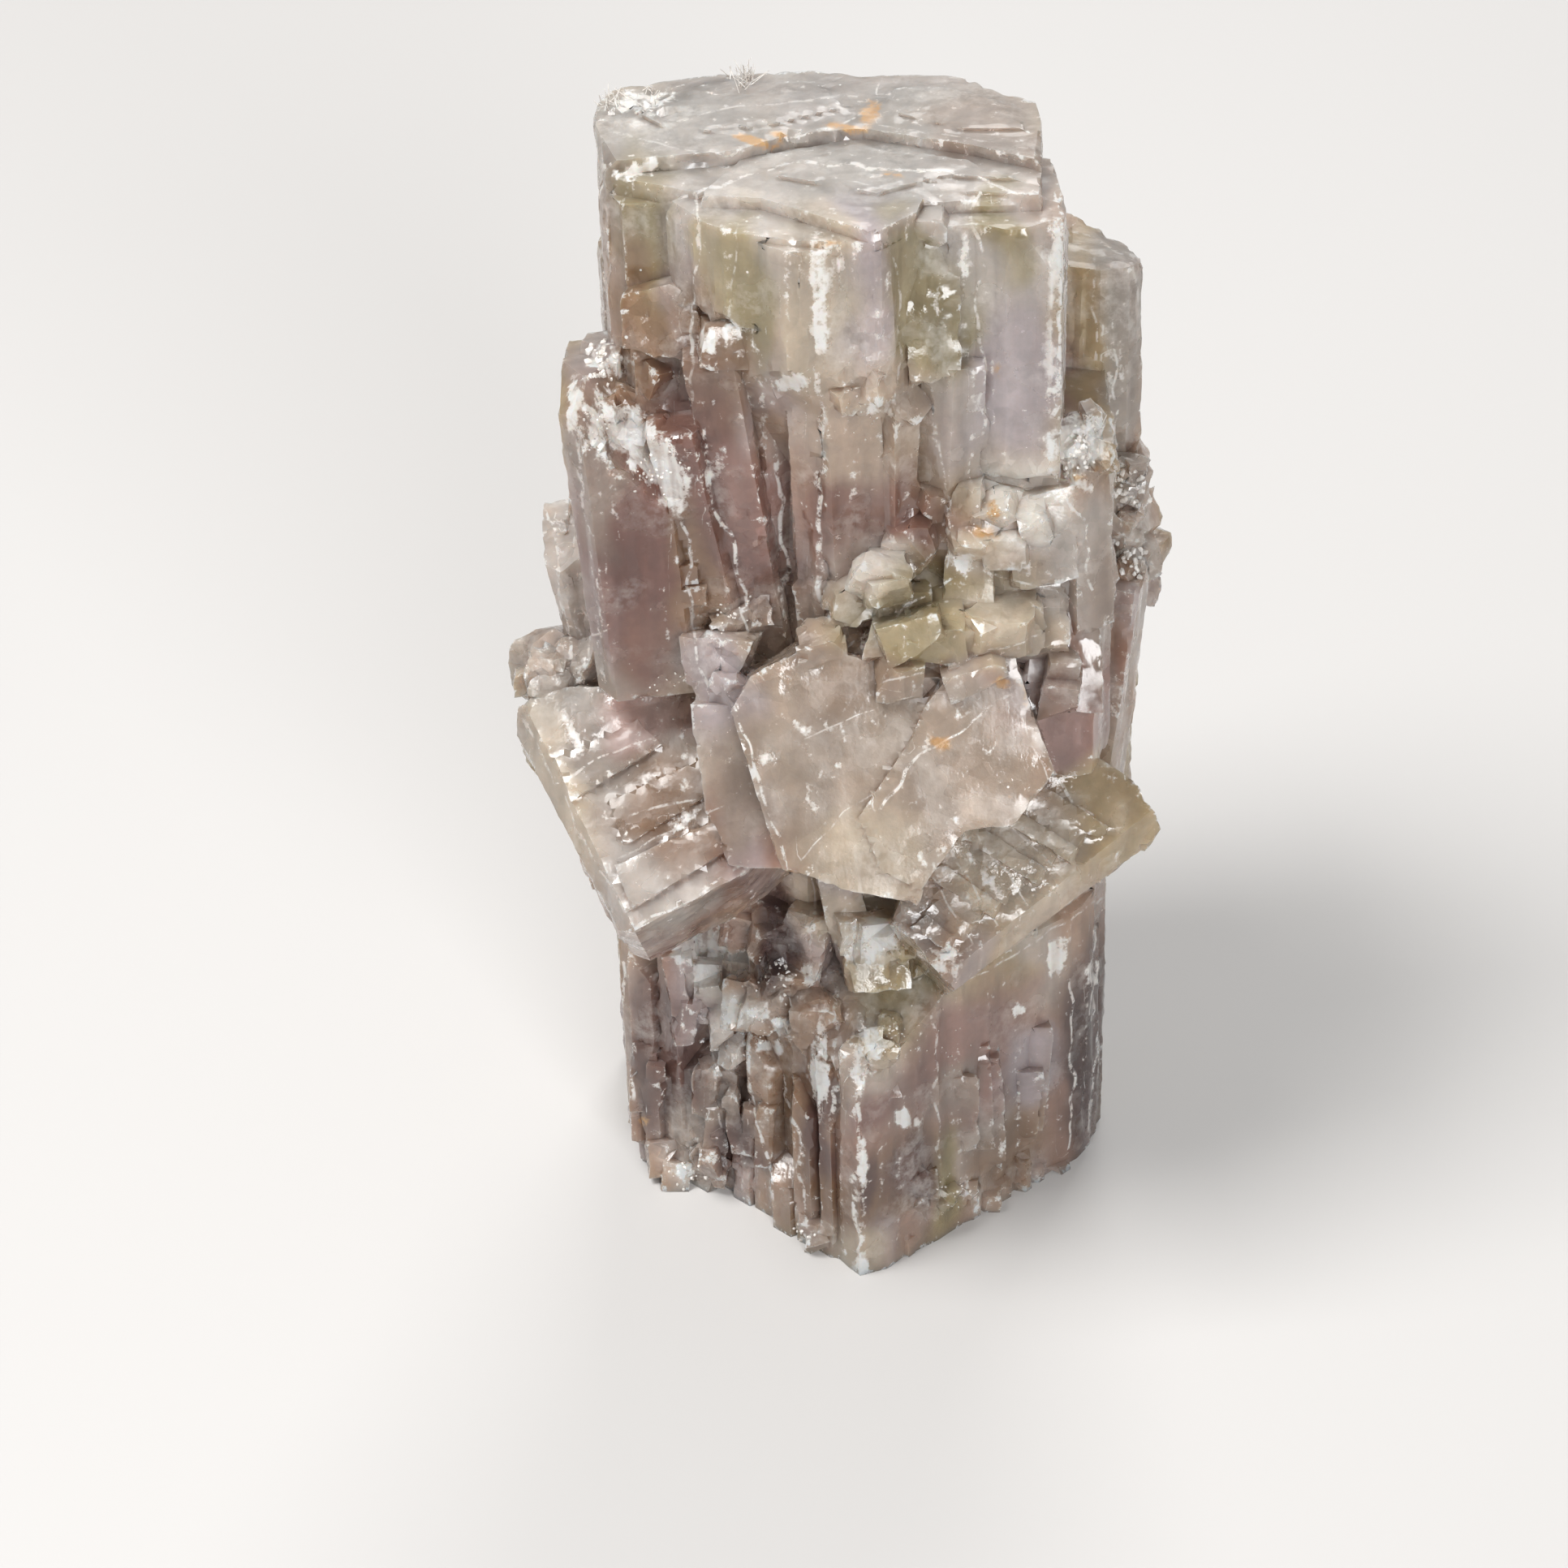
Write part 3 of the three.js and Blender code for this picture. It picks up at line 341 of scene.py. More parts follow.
# Fine lines that catch the light, such as cracks and dashed growth ridges: width in mm, pixels.
LIGHT_LINES = [
    (0.04, (800, 150), (915, 130), (1060, 118)),
    (0.05, (905, 188), (960, 168), (1040, 160), (1080, 130), (1085, 108)),
    (0.04, (770, 165), (850, 185), (905, 190)),
    (0.06, (835, 240), (900, 222), (1000, 196), (1150, 212), (1262, 236)),
    (0.03, (1060, 150), (1150, 165), (1270, 180)),
    (0.05, (1262, 236), (1302, 250)),
    (0.07, (745, 215), (742, 320), (748, 400)),
    (0.05, (768, 250), (770, 330)),
    (0.06, (862, 250), (858, 360), (850, 510)),
    (0.04, (905, 290), (900, 400)),
    (0.05, (1100, 330), (1112, 420), (1105, 480)),
    (0.07, (1205, 240), (1208, 400), (1212, 520)),
    (0.08, (1310, 250), (1308, 380), (1300, 500)),
    (0.06, (1352, 330), (1352, 430), (1348, 520)),
    (0.05, (1330, 290), (1400, 318), (1404, 360)),
    (0.06, (1378, 400), (1372, 560), (1380, 640)),
    (0.09, (935, 480), (962, 600), (968, 680), (970, 760)),
    (0.11, (1008, 470), (1012, 560), (1006, 660), (1018, 750)),
    (0.08, (862, 540), (888, 640), (925, 740)),
    (0.07, (842, 640), (846, 720), (870, 830)),
    (0.06, (890, 600), (905, 690), (920, 770)),
    (0.06, (715, 480), (712, 560), (722, 640)),
    (0.06, (674, 642), (704, 800)),
    (0.05, (700, 640), (728, 800)),
    (0.05, (712, 790), (740, 780)),
    (0.05, (1160, 560), (1170, 640), (1165, 690)),
    (0.06, (1310, 600), (1335, 650), (1345, 720)),
    (0.05, (1190, 700), (1240, 712), (1300, 730)),
    (0.06, (1060, 790), (1130, 740), (1200, 700)),
    (0.05, (1100, 840), (1180, 815), (1270, 790)),
    (0.06, (1230, 868), (1170, 905), (1115, 950), (1090, 985)),
    (0.035, (1115, 950), (1040, 1000), (985, 1060)),
    (0.03, (1000, 905), (1060, 880), (1110, 862)),
    (0.06, (905, 880), (930, 940), (962, 1030), (965, 1070)),
    (0.03, (1250, 860), (1285, 950)),
    (0.05, (690, 965), (740, 935), (800, 908)),
    (0.04, (740, 1068), (800, 1040), (880, 1000)),
    (0.05, (652, 900), (700, 1000), (760, 1110)),
    (0.06, (770, 1150), (850, 1110), (905, 1070)),
    (0.05, (790, 1000), (850, 985)),
    (0.05, (1150, 1080), (1190, 1150)),
    (0.05, (1180, 1060), (1222, 1130)),
    (0.05, (1215, 1040), (1262, 1110)),
    (0.04, (1250, 1020), (1300, 1070)),
    (0.05, (1300, 960), (1350, 1010)),
    (0.05, (1185, 1215), (1280, 1160), (1350, 1110)),
    (0.05, (1000, 1090), (1001, 1160)),
    (0.06, (895, 1140), (900, 1200)),
    (0.1, (1030, 1230), (1032, 1300), (1026, 1380)),
    (0.11, (1058, 1330), (1060, 1420), (1058, 1530)),
    (0.06, (968, 1330), (985, 1420), (995, 1500)),
    (0.08, (925, 1310), (940, 1400), (950, 1470)),
    (0.05, (880, 1300), (885, 1380)),
    (0.05, (1150, 1250), (1152, 1330), (1156, 1420)),
    (0.07, (1320, 1220), (1322, 1340), (1316, 1410)),
    (0.06, (1345, 1150), (1348, 1300), (1342, 1380)),
    (0.08, (765, 1190), (770, 1290), (780, 1340)),
]

# The strength of a light line, by its width in mm.
LINE_STRENGTHS = {0.04: 0.45, 0.05: 0.6, 0.06: 0.8, 0.07: 0.8, 0.08: 1}

# Where the stone is broken into small facets: pixel, reach across and along in mm, turn, strength.
BROKEN = [
    ((950, 700), (1.8, 3.4), -6, 0.7),
    ((890, 780), (1.2, 1.6), -10, 0.9),
    ((960, 1180), (2.6, 2.6), 0, 1),
    ((1080, 1180), (1.6, 1.6), 0, 0.8),
    ((900, 1290), (2.2, 2.4), 0, 0.7),
    ((1080, 1290), (1.2, 1.4), 0, 0.8),
    ((790, 560), (2.4, 1.6), 30, 0.9),
    ((830, 400), (1.6, 1.4), 0, 0.7),
    ((1060, 440), (1.8, 2.2), 0, 0.6),
    ((1260, 640), (2.2, 2), 0, 0.6),
    ((1160, 760), (3.4, 1.4), -10, 0.3),
    ((1090, 720), (1.6, 1.2), 30, 0.7),
    ((1390, 620), (0.8, 2.4), 0, 1),
    ((1340, 560), (1, 1), 0, 1),
    ((1150, 1100), (2, 3.2), 50, 0.4),
    ((1250, 1070), (1.8, 1.6), 50, 0.4),
    ((850, 1020), (0.9, 0.7), 0, 0.1),
    ((850, 880), (1, 0.4), 15, 0.15),
    ((670, 820), (1.4, 1.2), 0, 1),
    ((780, 140), (1.6, 0.8), -15, 0.7),
    ((860, 1430), (2.2, 1.2), 25, 0.8),
    ((1180, 1480), (2.6, 0.8), -30, 0.7),
]

# Smooth faces, with little of the ridges and the grain: pixel, reach in mm, turn, strength.
SMOOTH = [
    ((990, 930), (3.2, 4.2), 0, 1),
    ((1150, 950), (4.2, 3.6), 0, 1),
    ((750, 940), (3.2, 4), -28, 1),
    ((830, 1030), (2.6, 2.4), -28, 0.9),
    ((1330, 960), (2.2, 2.4), 40, 0.7),
    ((1240, 1340), (2.4, 4.4), 0, 0.5),
    ((1250, 400), (1.6, 6), 0, 0.5),
    ((800, 700), (2, 4.4), -6, 0.5),
    ((1160, 750), (3.6, 1.6), 0, 0.6),
]

# Small broken blocks, half sunk in the surface: pixel, spread in mm, size across, deep and along in
# mm, how far they tilt in degrees and how many there are.
BLOCKS = [
    ((1040, 785), (0.8, 0.3), (1.7, 1.6, 1.3), 18, 3),
    ((1130, 775), (0.9, 0.1), (2.4, 2, 1.3), 9, 3),
    ((1245, 772), (0.8, 0.1), (2.4, 2, 1.5), 9, 3),
    ((1110, 828), (0.5, 0.1), (2.2, 2.2, 1.4), 7, 2),
    ((1190, 815), (0.8, 0.1), (2.4, 2.2, 1.4), 7, 3),
    ((1150, 278), (0.1, 0.1), (1.3, 1.3, 1.4), 4, 1),
    ((1300, 830), (0.3, 0.6), (1.2, 1.6, 2.2), 10, 2),
    ((920, 770), (0.7, 0.6), (0.9, 0.9, 1.2), 30, 5),
    ((1085, 715), (1, 0.8), (1.7, 1.2, 1.5), 16, 4),
    ((930, 1130), (0.9, 0.6), (1.8, 1.2, 2), 16, 4),
    ((1080, 1150), (0.9, 0.6), (1.6, 1.2, 1.6), 18, 4),
    ((960, 1230), (1.6, 1), (1.7, 1.2, 2.4), 12, 6),
    ((860, 1230), (0.9, 1.4), (0.9, 0.8, 2.4), 8, 7),
    ((1080, 1280), (0.8, 0.8), (1, 0.8, 1.8), 12, 5),
    ((900, 1360), (1.4, 1.2), (0.9, 0.8, 2.8), 6, 8),
    ((850, 1430), (1.2, 0.5), (1.1, 1, 1.4), 12, 6),
    ((1180, 1470), (1.6, 0.6), (0.7, 0.7, 1), 12, 6),
    ((1000, 1520), (0.6, 0.4), (0.8, 0.8, 0.9), 15, 4),
    ((668, 825), (0.6, 0.5), (1.1, 1, 1), 40, 5),
    ((1230, 1370), (1.5, 1.4), (1, 0.5, 4.6), 3, 7),
    ((800, 1330), (0.5, 1.4), (0.8, 0.8, 3), 4, 5),
    ((905, 845), (0.3, 0.3), (1, 1, 1), 20, 3),
    ((1385, 640), (0.5, 2), (0.9, 0.9, 1), 45, 9),
    ((1340, 560), (0.5, 0.5), (0.7, 0.7, 0.7), 45, 5),
    ((770, 500), (1.2, 1), (0.8, 0.7, 1.1), 20, 7),
    ((1240, 640), (1.4, 1.2), (1.4, 1, 1.4), 18, 6),
]

# The same on the sides that the photograph doesn't show: the side, in degrees from the front, height
# and spread in mm, size, tilt and count.
HIDDEN_BLOCKS = [
    (128, 8, 2.6, (0.9, 0.9, 3.4), 4, 6),
    (115, 22, 2.2, (1.5, 1.2, 1.8), 20, 5),
    (140, 33, 2.4, (1.2, 0.9, 3), 4, 4),
    (165, 17, 2.6, (1.6, 1.4, 1.8), 22, 6),
    (185, 36, 2.6, (1.3, 0.8, 3.4), 3, 4),
    (195, 6, 3, (0.9, 0.9, 3.2), 4, 6),
    (215, 24, 2.4, (1.4, 1.2, 2), 14, 5),
    (240, 12, 2.6, (1.2, 1, 1.8), 18, 5),
    (255, 31, 2, (1, 0.8, 2.6), 6, 4),
]

# The lights: name, place and side in mm, power as a share of the stage's light power, and colour.
LIGHTS = [
    ("key", (-150, -30, 300), 130, 1.25, (1, 0.99, 0.98)),
    ("front", (110, -300, 170), 160, 0.95, (0.98, 0.99, 1)),
    ("back", (60, 300, 260), 150, 0.65, (1, 0.99, 0.98)),
]
LIGHTS_AIM = Vector((0, 0, 20)) * MM
WORLD_COLOUR = (0.78, 0.79, 0.8, 1)
WORLD_STRENGTH = 0.44

# Crumbs and fibres that stand on the surface: kind, pixel, spread in mm, size in mm, count.
CRUMBS = [
    ("fibre", (918, 100), 0.5, 0.75, 34),
    ("fibre", (750, 122), 0.5, 0.5, 26),
    ("fibre", (800, 112), 0.8, 0.35, 20),
    ("crumb", (745, 440), 0.55, 0.34, 26),
    ("crumb", (735, 462), 0.4, 0.24, 14),
    ("crumb", (1335, 545), 0.55, 0.26, 26),
    ("crumb", (1322, 575), 0.5, 0.2, 14),
    ("fibre", (1345, 520), 0.25, 0.4, 10),
    ("crumb", (1388, 600), 0.6, 0.34, 22),
    ("crumb", (1395, 690), 0.7, 0.36, 26),
    ("crumb", (805, 575), 0.9, 0.14, 30),
    ("crumb", (735, 520), 0.6, 0.12, 18),
    ("crumb", (1060, 1160), 0.6, 0.16, 16),
    ("crumb", (960, 1200), 0.9, 0.2, 22),
    ("crumb", (930, 1275), 0.8, 0.14, 16),
    ("crumb", (1100, 1280), 0.9, 0.12, 24),
    ("crumb", (1170, 1290), 1, 0.1, 16),
    ("crumb", (1060, 500), 0.9, 0.1, 16),
    ("crumb", (900, 760), 0.8, 0.16, 20),
    ("crumb", (1230, 640), 0.9, 0.14, 18),
    ("crumb", (830, 850), 0.8, 0.12, 14),
    ("crumb", (850, 1440), 0.7, 0.22, 14),
    ("crumb", (990, 1520), 0.4, 0.2, 10),
    ("crumb", (1180, 1470), 1, 0.16, 16),
]


def in_column(places):
    """Places in the scene, in metres, as rows of across, deep and along in millimetres."""
    return (places - np.array(COLUMN_FOOT)) @ np.array(COLUMN_LEAN) / MM


def smooth_step(values, low, high):
    """0 below the low value and 1 above the high one, with a soft slope between them."""
    share = np.clip((values - low) / (high - low), 0, 1)
    return share * share * (3 - 2 * share)


def only(piece):
    """Selects one piece alone and makes it active."""
    bpy.ops.object.select_all(action="DESELECT")
    piece.select_set(True)
    bpy.context.view_layer.objects.active = piece


def joined(pieces):
    """The first of several pieces, with the others joined to it."""
    only(pieces[0])
    for piece in pieces:
        piece.select_set(True)
    bpy.ops.object.join()
    return pieces[0]


def places_of(mesh):
    places = np.zeros(len(mesh.vertices) * 3)
    mesh.vertices.foreach_get("co", places)
    return places.reshape(-1, 3)


def set_places(mesh, places):
    mesh.vertices.foreach_set("co", places.ravel())
    mesh.update()


def normals_of(mesh):
    normals = np.zeros(len(mesh.vertices) * 3)
    mesh.vertex_normals.foreach_get("vector", normals)
    return normals.reshape(-1, 3)


def edges_of(mesh):
    ends = np.zeros(len(mesh.edges) * 2, dtype=np.int64)
    mesh.edges.foreach_get("vertices", ends)
    return ends.reshape(-1, 2)


def spread(values, ends, times):
    """Blurs values along the edges of a mesh."""
    for _ in range(times):
        total = np.zeros_like(values)
        count = np.zeros(len(values))
        for here, there in ((0, 1), (1, 0)):
            np.add.at(total, ends[:, here], values[ends[:, there]])
            np.add.at(count, ends[:, here], 1)
        share = total / np.maximum(count, 1).reshape((-1,) + (1,) * (values.ndim - 1))
        values = 0.5 * values + 0.5 * share
    return values


def roundness(mesh, ends):
    """How far each vertex stands out from its neighbours: above 0 on ridges, below 0 in hollows."""
    places = places_of(mesh)
    normals = normals_of(mesh)
    middle = spread(places, ends, 2)
    return np.einsum("ij,ij->i", places - middle, normals) / MM


def noise_at(places, scale, stretch=(1, 1, 1), seed=0.0, octaves=1):
    """Smooth noise from about -1 to 1 at rows of places in millimetres."""
    scaled = places * np.array(stretch) / scale + seed
    if octaves > 1:
        return np.array([noise.fractal(Vector(row), 0.9, 2.1, octaves) for row in scaled])
    return np.array([noise.noise(Vector(row)) for row in scaled])


def facets_at(places, size, stretch, seed):
    """Heights of a surface that is broken into tilted facets, and a random share for each facet."""
    scaled = places * np.array(stretch) / size
    low, high = scaled.min(axis=0), scaled.max(axis=0)
    dice = np.random.default_rng(seed)
    middles = dice.uniform(low, high, (int(np.prod(high - low)), 3))
    slopes = dice.normal(0, 1, middles.shape)
    shares = dice.uniform(0, 1, len(middles))
    tree = KDTree(len(middles))
    for index, middle in enumerate(middles):
        tree.insert(middle, index)
    tree.balance()
    nearest = np.array([tree.find(place)[1] for place in scaled])
    return np.einsum("ij,ij->i", scaled - middles[nearest], slopes[nearest]), shares[nearest]


def keep_attribute(mesh, name, values):
    """Keeps three or four numbers, such as a colour, for each vertex."""
    kept = mesh.attributes.new(name, "FLOAT_COLOR", "POINT")
    full = np.ones((len(values), 4), dtype=np.float32)
    full[:, : values.shape[1]] = values
    kept.data.foreach_set("color", full.ravel())


class Sight:
    """Finds what the photograph's pixels show on a piece."""

    def __init__(self, mesh):
        """Reads a mesh once; later moves of its vertices are small enough to leave out."""
        faces = [tuple(face.vertices) for face in mesh.polygons]
        self.tree = BVHTree.FromPolygons([vertex.co for vertex in mesh.vertices], faces)
        self.turn = Euler((math.pi / 2 - CAMERA_PITCH, 0, 0)).to_matrix()
        from_camera = (places_of(mesh) - np.array(CAMERA_AT)) @ np.array(self.turn)
        self.depth = -from_camera[:, 2] / MM
        flat = from_camera[:, :2] * (1, -1) / -from_camera[:, 2:]
        self.pixels = PHOTO_SIZE / 2 + PHOTO_FOCAL * flat
        self.seen = spread(self.in_view(mesh), edges_of(mesh), 2)

    def in_view(self, mesh):
        """1 for each vertex that the photograph shows and 0 for the rest."""
        shown = np.zeros(len(mesh.vertices))
        for index, vertex in enumerate(mesh.vertices):
            way = vertex.co - CAMERA_AT
            reach = self.tree.ray_cast(CAMERA_AT, way)[3]
            shown[index] = reach is not None and reach > way.length - SIGHT_SLACK
        return shown

    def look(self, pixel):
        """The point of the piece under a pixel and its face's normal, or twice None."""
        across = (pixel[0] - PHOTO_SIZE / 2) / PHOTO_FOCAL
        up = (PHOTO_SIZE / 2 - pixel[1]) / PHOTO_FOCAL
        return self.tree.ray_cast(CAMERA_AT, self.turn @ Vector((across, up, -1)))[:2]

    def point_at(self, pixel):
        point = self.look(pixel)[0]
        if point is None:
            raise RuntimeError(f"nothing lies under the pixel {pixel}")
        return point

    def spot(self, pixel):
        """The point under a pixel, in millimetres in the column's frame."""
        return in_column(np.array(self.point_at(pixel)))

    def beside(self, side, height, offset):
        """The point of the piece seen level from a side in degrees from the front, or None."""
        way = Vector((math.sin(math.radians(side)), -math.cos(math.radians(side)), 0))
        across = Vector((-way.y, way.x, 0))
        start = way * HIDDEN_REACH + across * offset * MM + Vector((0, 0, height * MM))
        return self.tree.ray_cast(start, -way)[0]

    def depth_at(self, pixel):
        """How far in front of the camera the point under a pixel lies, in millimetres."""
        return -(self.turn.transposed() @ (self.point_at(pixel) - CAMERA_AT)).z / MM

    def patch(self, pixel, reach, turn):
        """How far each vertex lies from the middle of an oval patch, in shares of its reach."""
        depth = self.depth_at(pixel)
        across, down = ((self.pixels - pixel) * depth / PHOTO_FOCAL).T
        angle = math.radians(turn)
        beside = across * math.cos(angle) + down * math.sin(angle)
        along = across * math.sin(angle) - down * math.cos(angle)
        behind = (self.depth - depth) / (0.8 + 1.2 * max(reach))
        return np.sqrt((beside / reach[0]) ** 2 + (along / reach[1]) ** 2 + behind**2)

    def stroke(self, pixels):
        """How far each vertex lies beside a line of pixels, signed, and how far from it, in mm."""
        beside = np.zeros(len(self.pixels))
        away = np.full(len(self.pixels), FAR_MM)
        for start, end in zip(pixels, pixels[1:]):
            way = np.subtract(end, start)
            here = self.pixels - start
            share = np.clip(here @ way / (way @ way), 0, 1)
            depth = self.depth_at(start) + share * (self.depth_at(end) - self.depth_at(start))
            gap = np.linalg.norm(here - share[:, None] * way, axis=1) * depth / PHOTO_FOCAL
            gap = np.hypot(gap, 0.4 * (self.depth - depth))
            cross = (here[:, 0] * way[1] - here[:, 1] * way[0]) / np.linalg.norm(way)
            nearer = gap < away
            away[nearer] = gap[nearer]
            beside[nearer] = (cross * depth / PHOTO_FOCAL)[nearer]
        return beside, away


def zone_share(places, middle, reach, turn, soft):
    """How much of a zone reaches each place: 1 well inside it and 0 outside."""
    away = places - middle
    angle = math.radians(turn)
    across = away[:, 0] * math.cos(angle) - away[:, 2] * math.sin(angle)
    along = away[:, 0] * math.sin(angle) + away[:, 2] * math.cos(angle)
    deep = away[:, 1] / (0.6 * (reach[0] + reach[1]) + 0.6)
    distance = np.sqrt((across / reach[0]) ** 2 + (along / reach[1]) ** 2 + deep**2)
    return 1 - smooth_step(distance, 1 - soft, 1 + soft)


def patches(sight, zones):
    """The strongest of several soft oval patches at each vertex."""
    field = np.zeros(len(sight.depth))
    for pixel, reach, turn, strength in zones:
        share = strength * (1 - smooth_step(sight.patch(pixel, reach, turn), 0.3, 1.6))
        field = np.maximum(field, share)
    return field


class AragoniteShape(bpy.types.PropertyGroup):
    """The sizes of the crystal surface."""

    grid_scale: FloatProperty(
        name="Grid scale",
        description="Share of the remeshing grid that the cluster fills; more gives smaller faces",
        default=0.72,
        min=0.3, max=0.9,
    )
    ridge_depth: FloatProperty(
        name="Ridge depth",
        description="Height of the growth ridges along the columns",
        default=0.14 * MM,
        unit="LENGTH",
    )
    facet_depth: FloatProperty(
        name="Facet depth",
        description="Height of the small facets where the stone is broken",
        default=0.12 * MM,
        unit="LENGTH",
    )
    chip_depth: FloatProperty(
        name="Chip depth",
        description="Depth of the chips along sharp edges",
        default=0.3 * MM,
        unit="LENGTH",
    )
    grain_depth: FloatProperty(
        name="Grain depth",
        description="Fine unevenness all over",
        default=0.03 * MM,
        unit="LENGTH",
    )
    fibre_width: FloatProperty(
        name="Fibre width",
        description="Thickness of the white fibres on the top edge",
        default=0.045 * MM,
        unit="LENGTH",
    )
    block_seed: IntProperty(
        name="Block seed",
        description="Another number scatters the small broken blocks in another way",
        default=5,
    )
    crumb_seed: IntProperty(
        name="Crumb seed",
        description="Another number scatters the crumbs and fibres in another way",
        default=7,
    )


class AragoniteFinish(bpy.types.PropertyGroup):
    """The colours and the gloss of the stone."""

    stone: FloatVectorProperty(
        name="Stone",
        description="Colour of the stone where no zone changes it",
        default=srgb(170, 143, 123),
        subtype="COLOR",
        min=0, max=1,
    )
    # Also the white of the painted glints in the lower hollow.
    bruise_and_glint: FloatVectorProperty(
        name="Bruise",
        description="Colour of crazed and chipped stone",
        default=srgb(251, 248, 243),
        subtype="COLOR",
        min=0, max=1,
    )
    stain: FloatVectorProperty(
        name="Stain",
        description="Colour of the rusty stains",
        default=srgb(204, 158, 100),
        subtype="COLOR",
        min=0, max=1,
    )
    transmission: FloatProperty(
        name="Transmission",
        description="Share of the light that passes the stone unscattered",
        default=0.45,
        min=0, max=1,
        subtype="FACTOR",
    )
    refraction: FloatProperty(
        name="Refraction",
        description="Index of refraction of aragonite",
        default=1.6,
        min=1, max=2.5,
    )


class AragoniteStage(bpy.types.PropertyGroup):
    """The floor and the lights."""

    floor_side: FloatProperty(
        name="Floor side",
        description="Side of the square floor",
        default=2400 * MM,
        unit="LENGTH",
    )
    floor_colour: FloatVectorProperty(
        name="Floor colour",
        description="Colour of the plain floor",
        default=srgb(184, 182, 180),
        subtype="COLOR",
        min=0, max=1,
    )
    light_power: FloatProperty(
        name="Light power",
        description="Power of a light whose share is 1",
        default=1.0,
        unit="POWER",
    )


def copy_of_node(name):
    """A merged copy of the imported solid, ready to be refined."""
    piece = bpy.data.objects.new(name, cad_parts[NODE].data.copy())
    bpy.context.scene.collection.objects.link(piece)
    piece.data.materials.clear()
    only(piece)
    bpy.ops.object.mode_set(mode="EDIT")
    bpy.ops.mesh.select_all(action="SELECT")
    bpy.ops.mesh.remove_doubles(threshold=MERGE_WITHIN)
    bpy.ops.object.mode_set(mode="OBJECT")
    return piece


def block_form(dice):
    """A broken crystal block, one across, with corners and sides cut off unevenly."""
    bpy.ops.object.select_all(action="DESELECT")
    bpy.ops.mesh.primitive_cube_add(size=1)
    form = bpy.context.object
    for _ in range(BLOCK_CUTS):
        way = Vector(dice.normal(0, 1, 3)).normalized()
        bpy.ops.object.mode_set(mode="EDIT")
        bpy.ops.mesh.select_all(action="SELECT")
        bpy.ops.mesh.bisect(
            plane_co=way * dice.uniform(*BLOCK_CUT_REACH), plane_no=way, use_fill=True,
            clear_outer=True)
        bpy.ops.object.mode_set(mode="OBJECT")
    return form


def placed_block(point, size, turn, dice):
    """A broken block with its middle at a point, turned a little at random."""
    block = block_form(dice)
    scale = Matrix.Diagonal((*(np.array(size) * MM * dice.uniform(0.7, 1.2, 3)), 1))
    lean = Euler(tuple(math.radians(part) for part in dice.normal(0, turn, 3))).to_matrix()
    block.data.transform(Matrix.Translation(point) @ (COLUMN_LEAN @ lean).to_4x4() @ scale)
    return block


def add_blocks(piece, seed):
    """Joins the small broken blocks to a piece, each half sunk into it."""
    dice = np.random.default_rng(seed)
    sight = Sight(piece.data)
    blocks = []
    for pixel, reach, size, turn, count in BLOCKS:
        per_mm = PHOTO_FOCAL / sight.depth_at(pixel)
        for _ in range(count):
            point = sight.look(np.array(pixel) + dice.uniform(-1, 1, 2) * np.array(reach) * per_mm)[0]
            if point is not None:
                blocks.append(placed_block(point, size, turn, dice))
    for side, height, reach, size, turn, count in HIDDEN_BLOCKS:
        for _ in range(count):
            offset, rise = dice.uniform(-reach, reach, 2)
            point = sight.beside(side, height + rise, offset)
            if point is not None:
                blocks.append(placed_block(point, size, turn, dice))
    union = piece.modifiers.new("blocks", "BOOLEAN")
    union.operation = "UNION"
    union.solver = "EXACT"
    union.use_self = True
    union.object = joined(blocks)
    only(piece)
    bpy.ops.object.modifier_apply(modifier=union.name)
    bpy.data.objects.remove(blocks[0])


def refine(piece, grid_scale):
    """Gives a piece small even faces that keep its sharp edges."""
    grid = piece.modifiers.new("grid", "REMESH")
    grid.mode = "SHARP"
    grid.octree_depth = 8
    grid.scale = grid_scale
    grid.sharpness = 1
    grid.use_remove_disconnected = True
    bpy.ops.object.modifier_apply(modifier=grid.name)


def broken_share(place, sight):
    """Where the stone is broken, in the photograph and in a few places on the hidden sides."""
    hidden = smooth_step(noise_at(place, 3.4, seed=21.0), 0.0, 0.4) * (1 - sight.seen)
    return np.maximum(patches(sight, BROKEN), hidden)


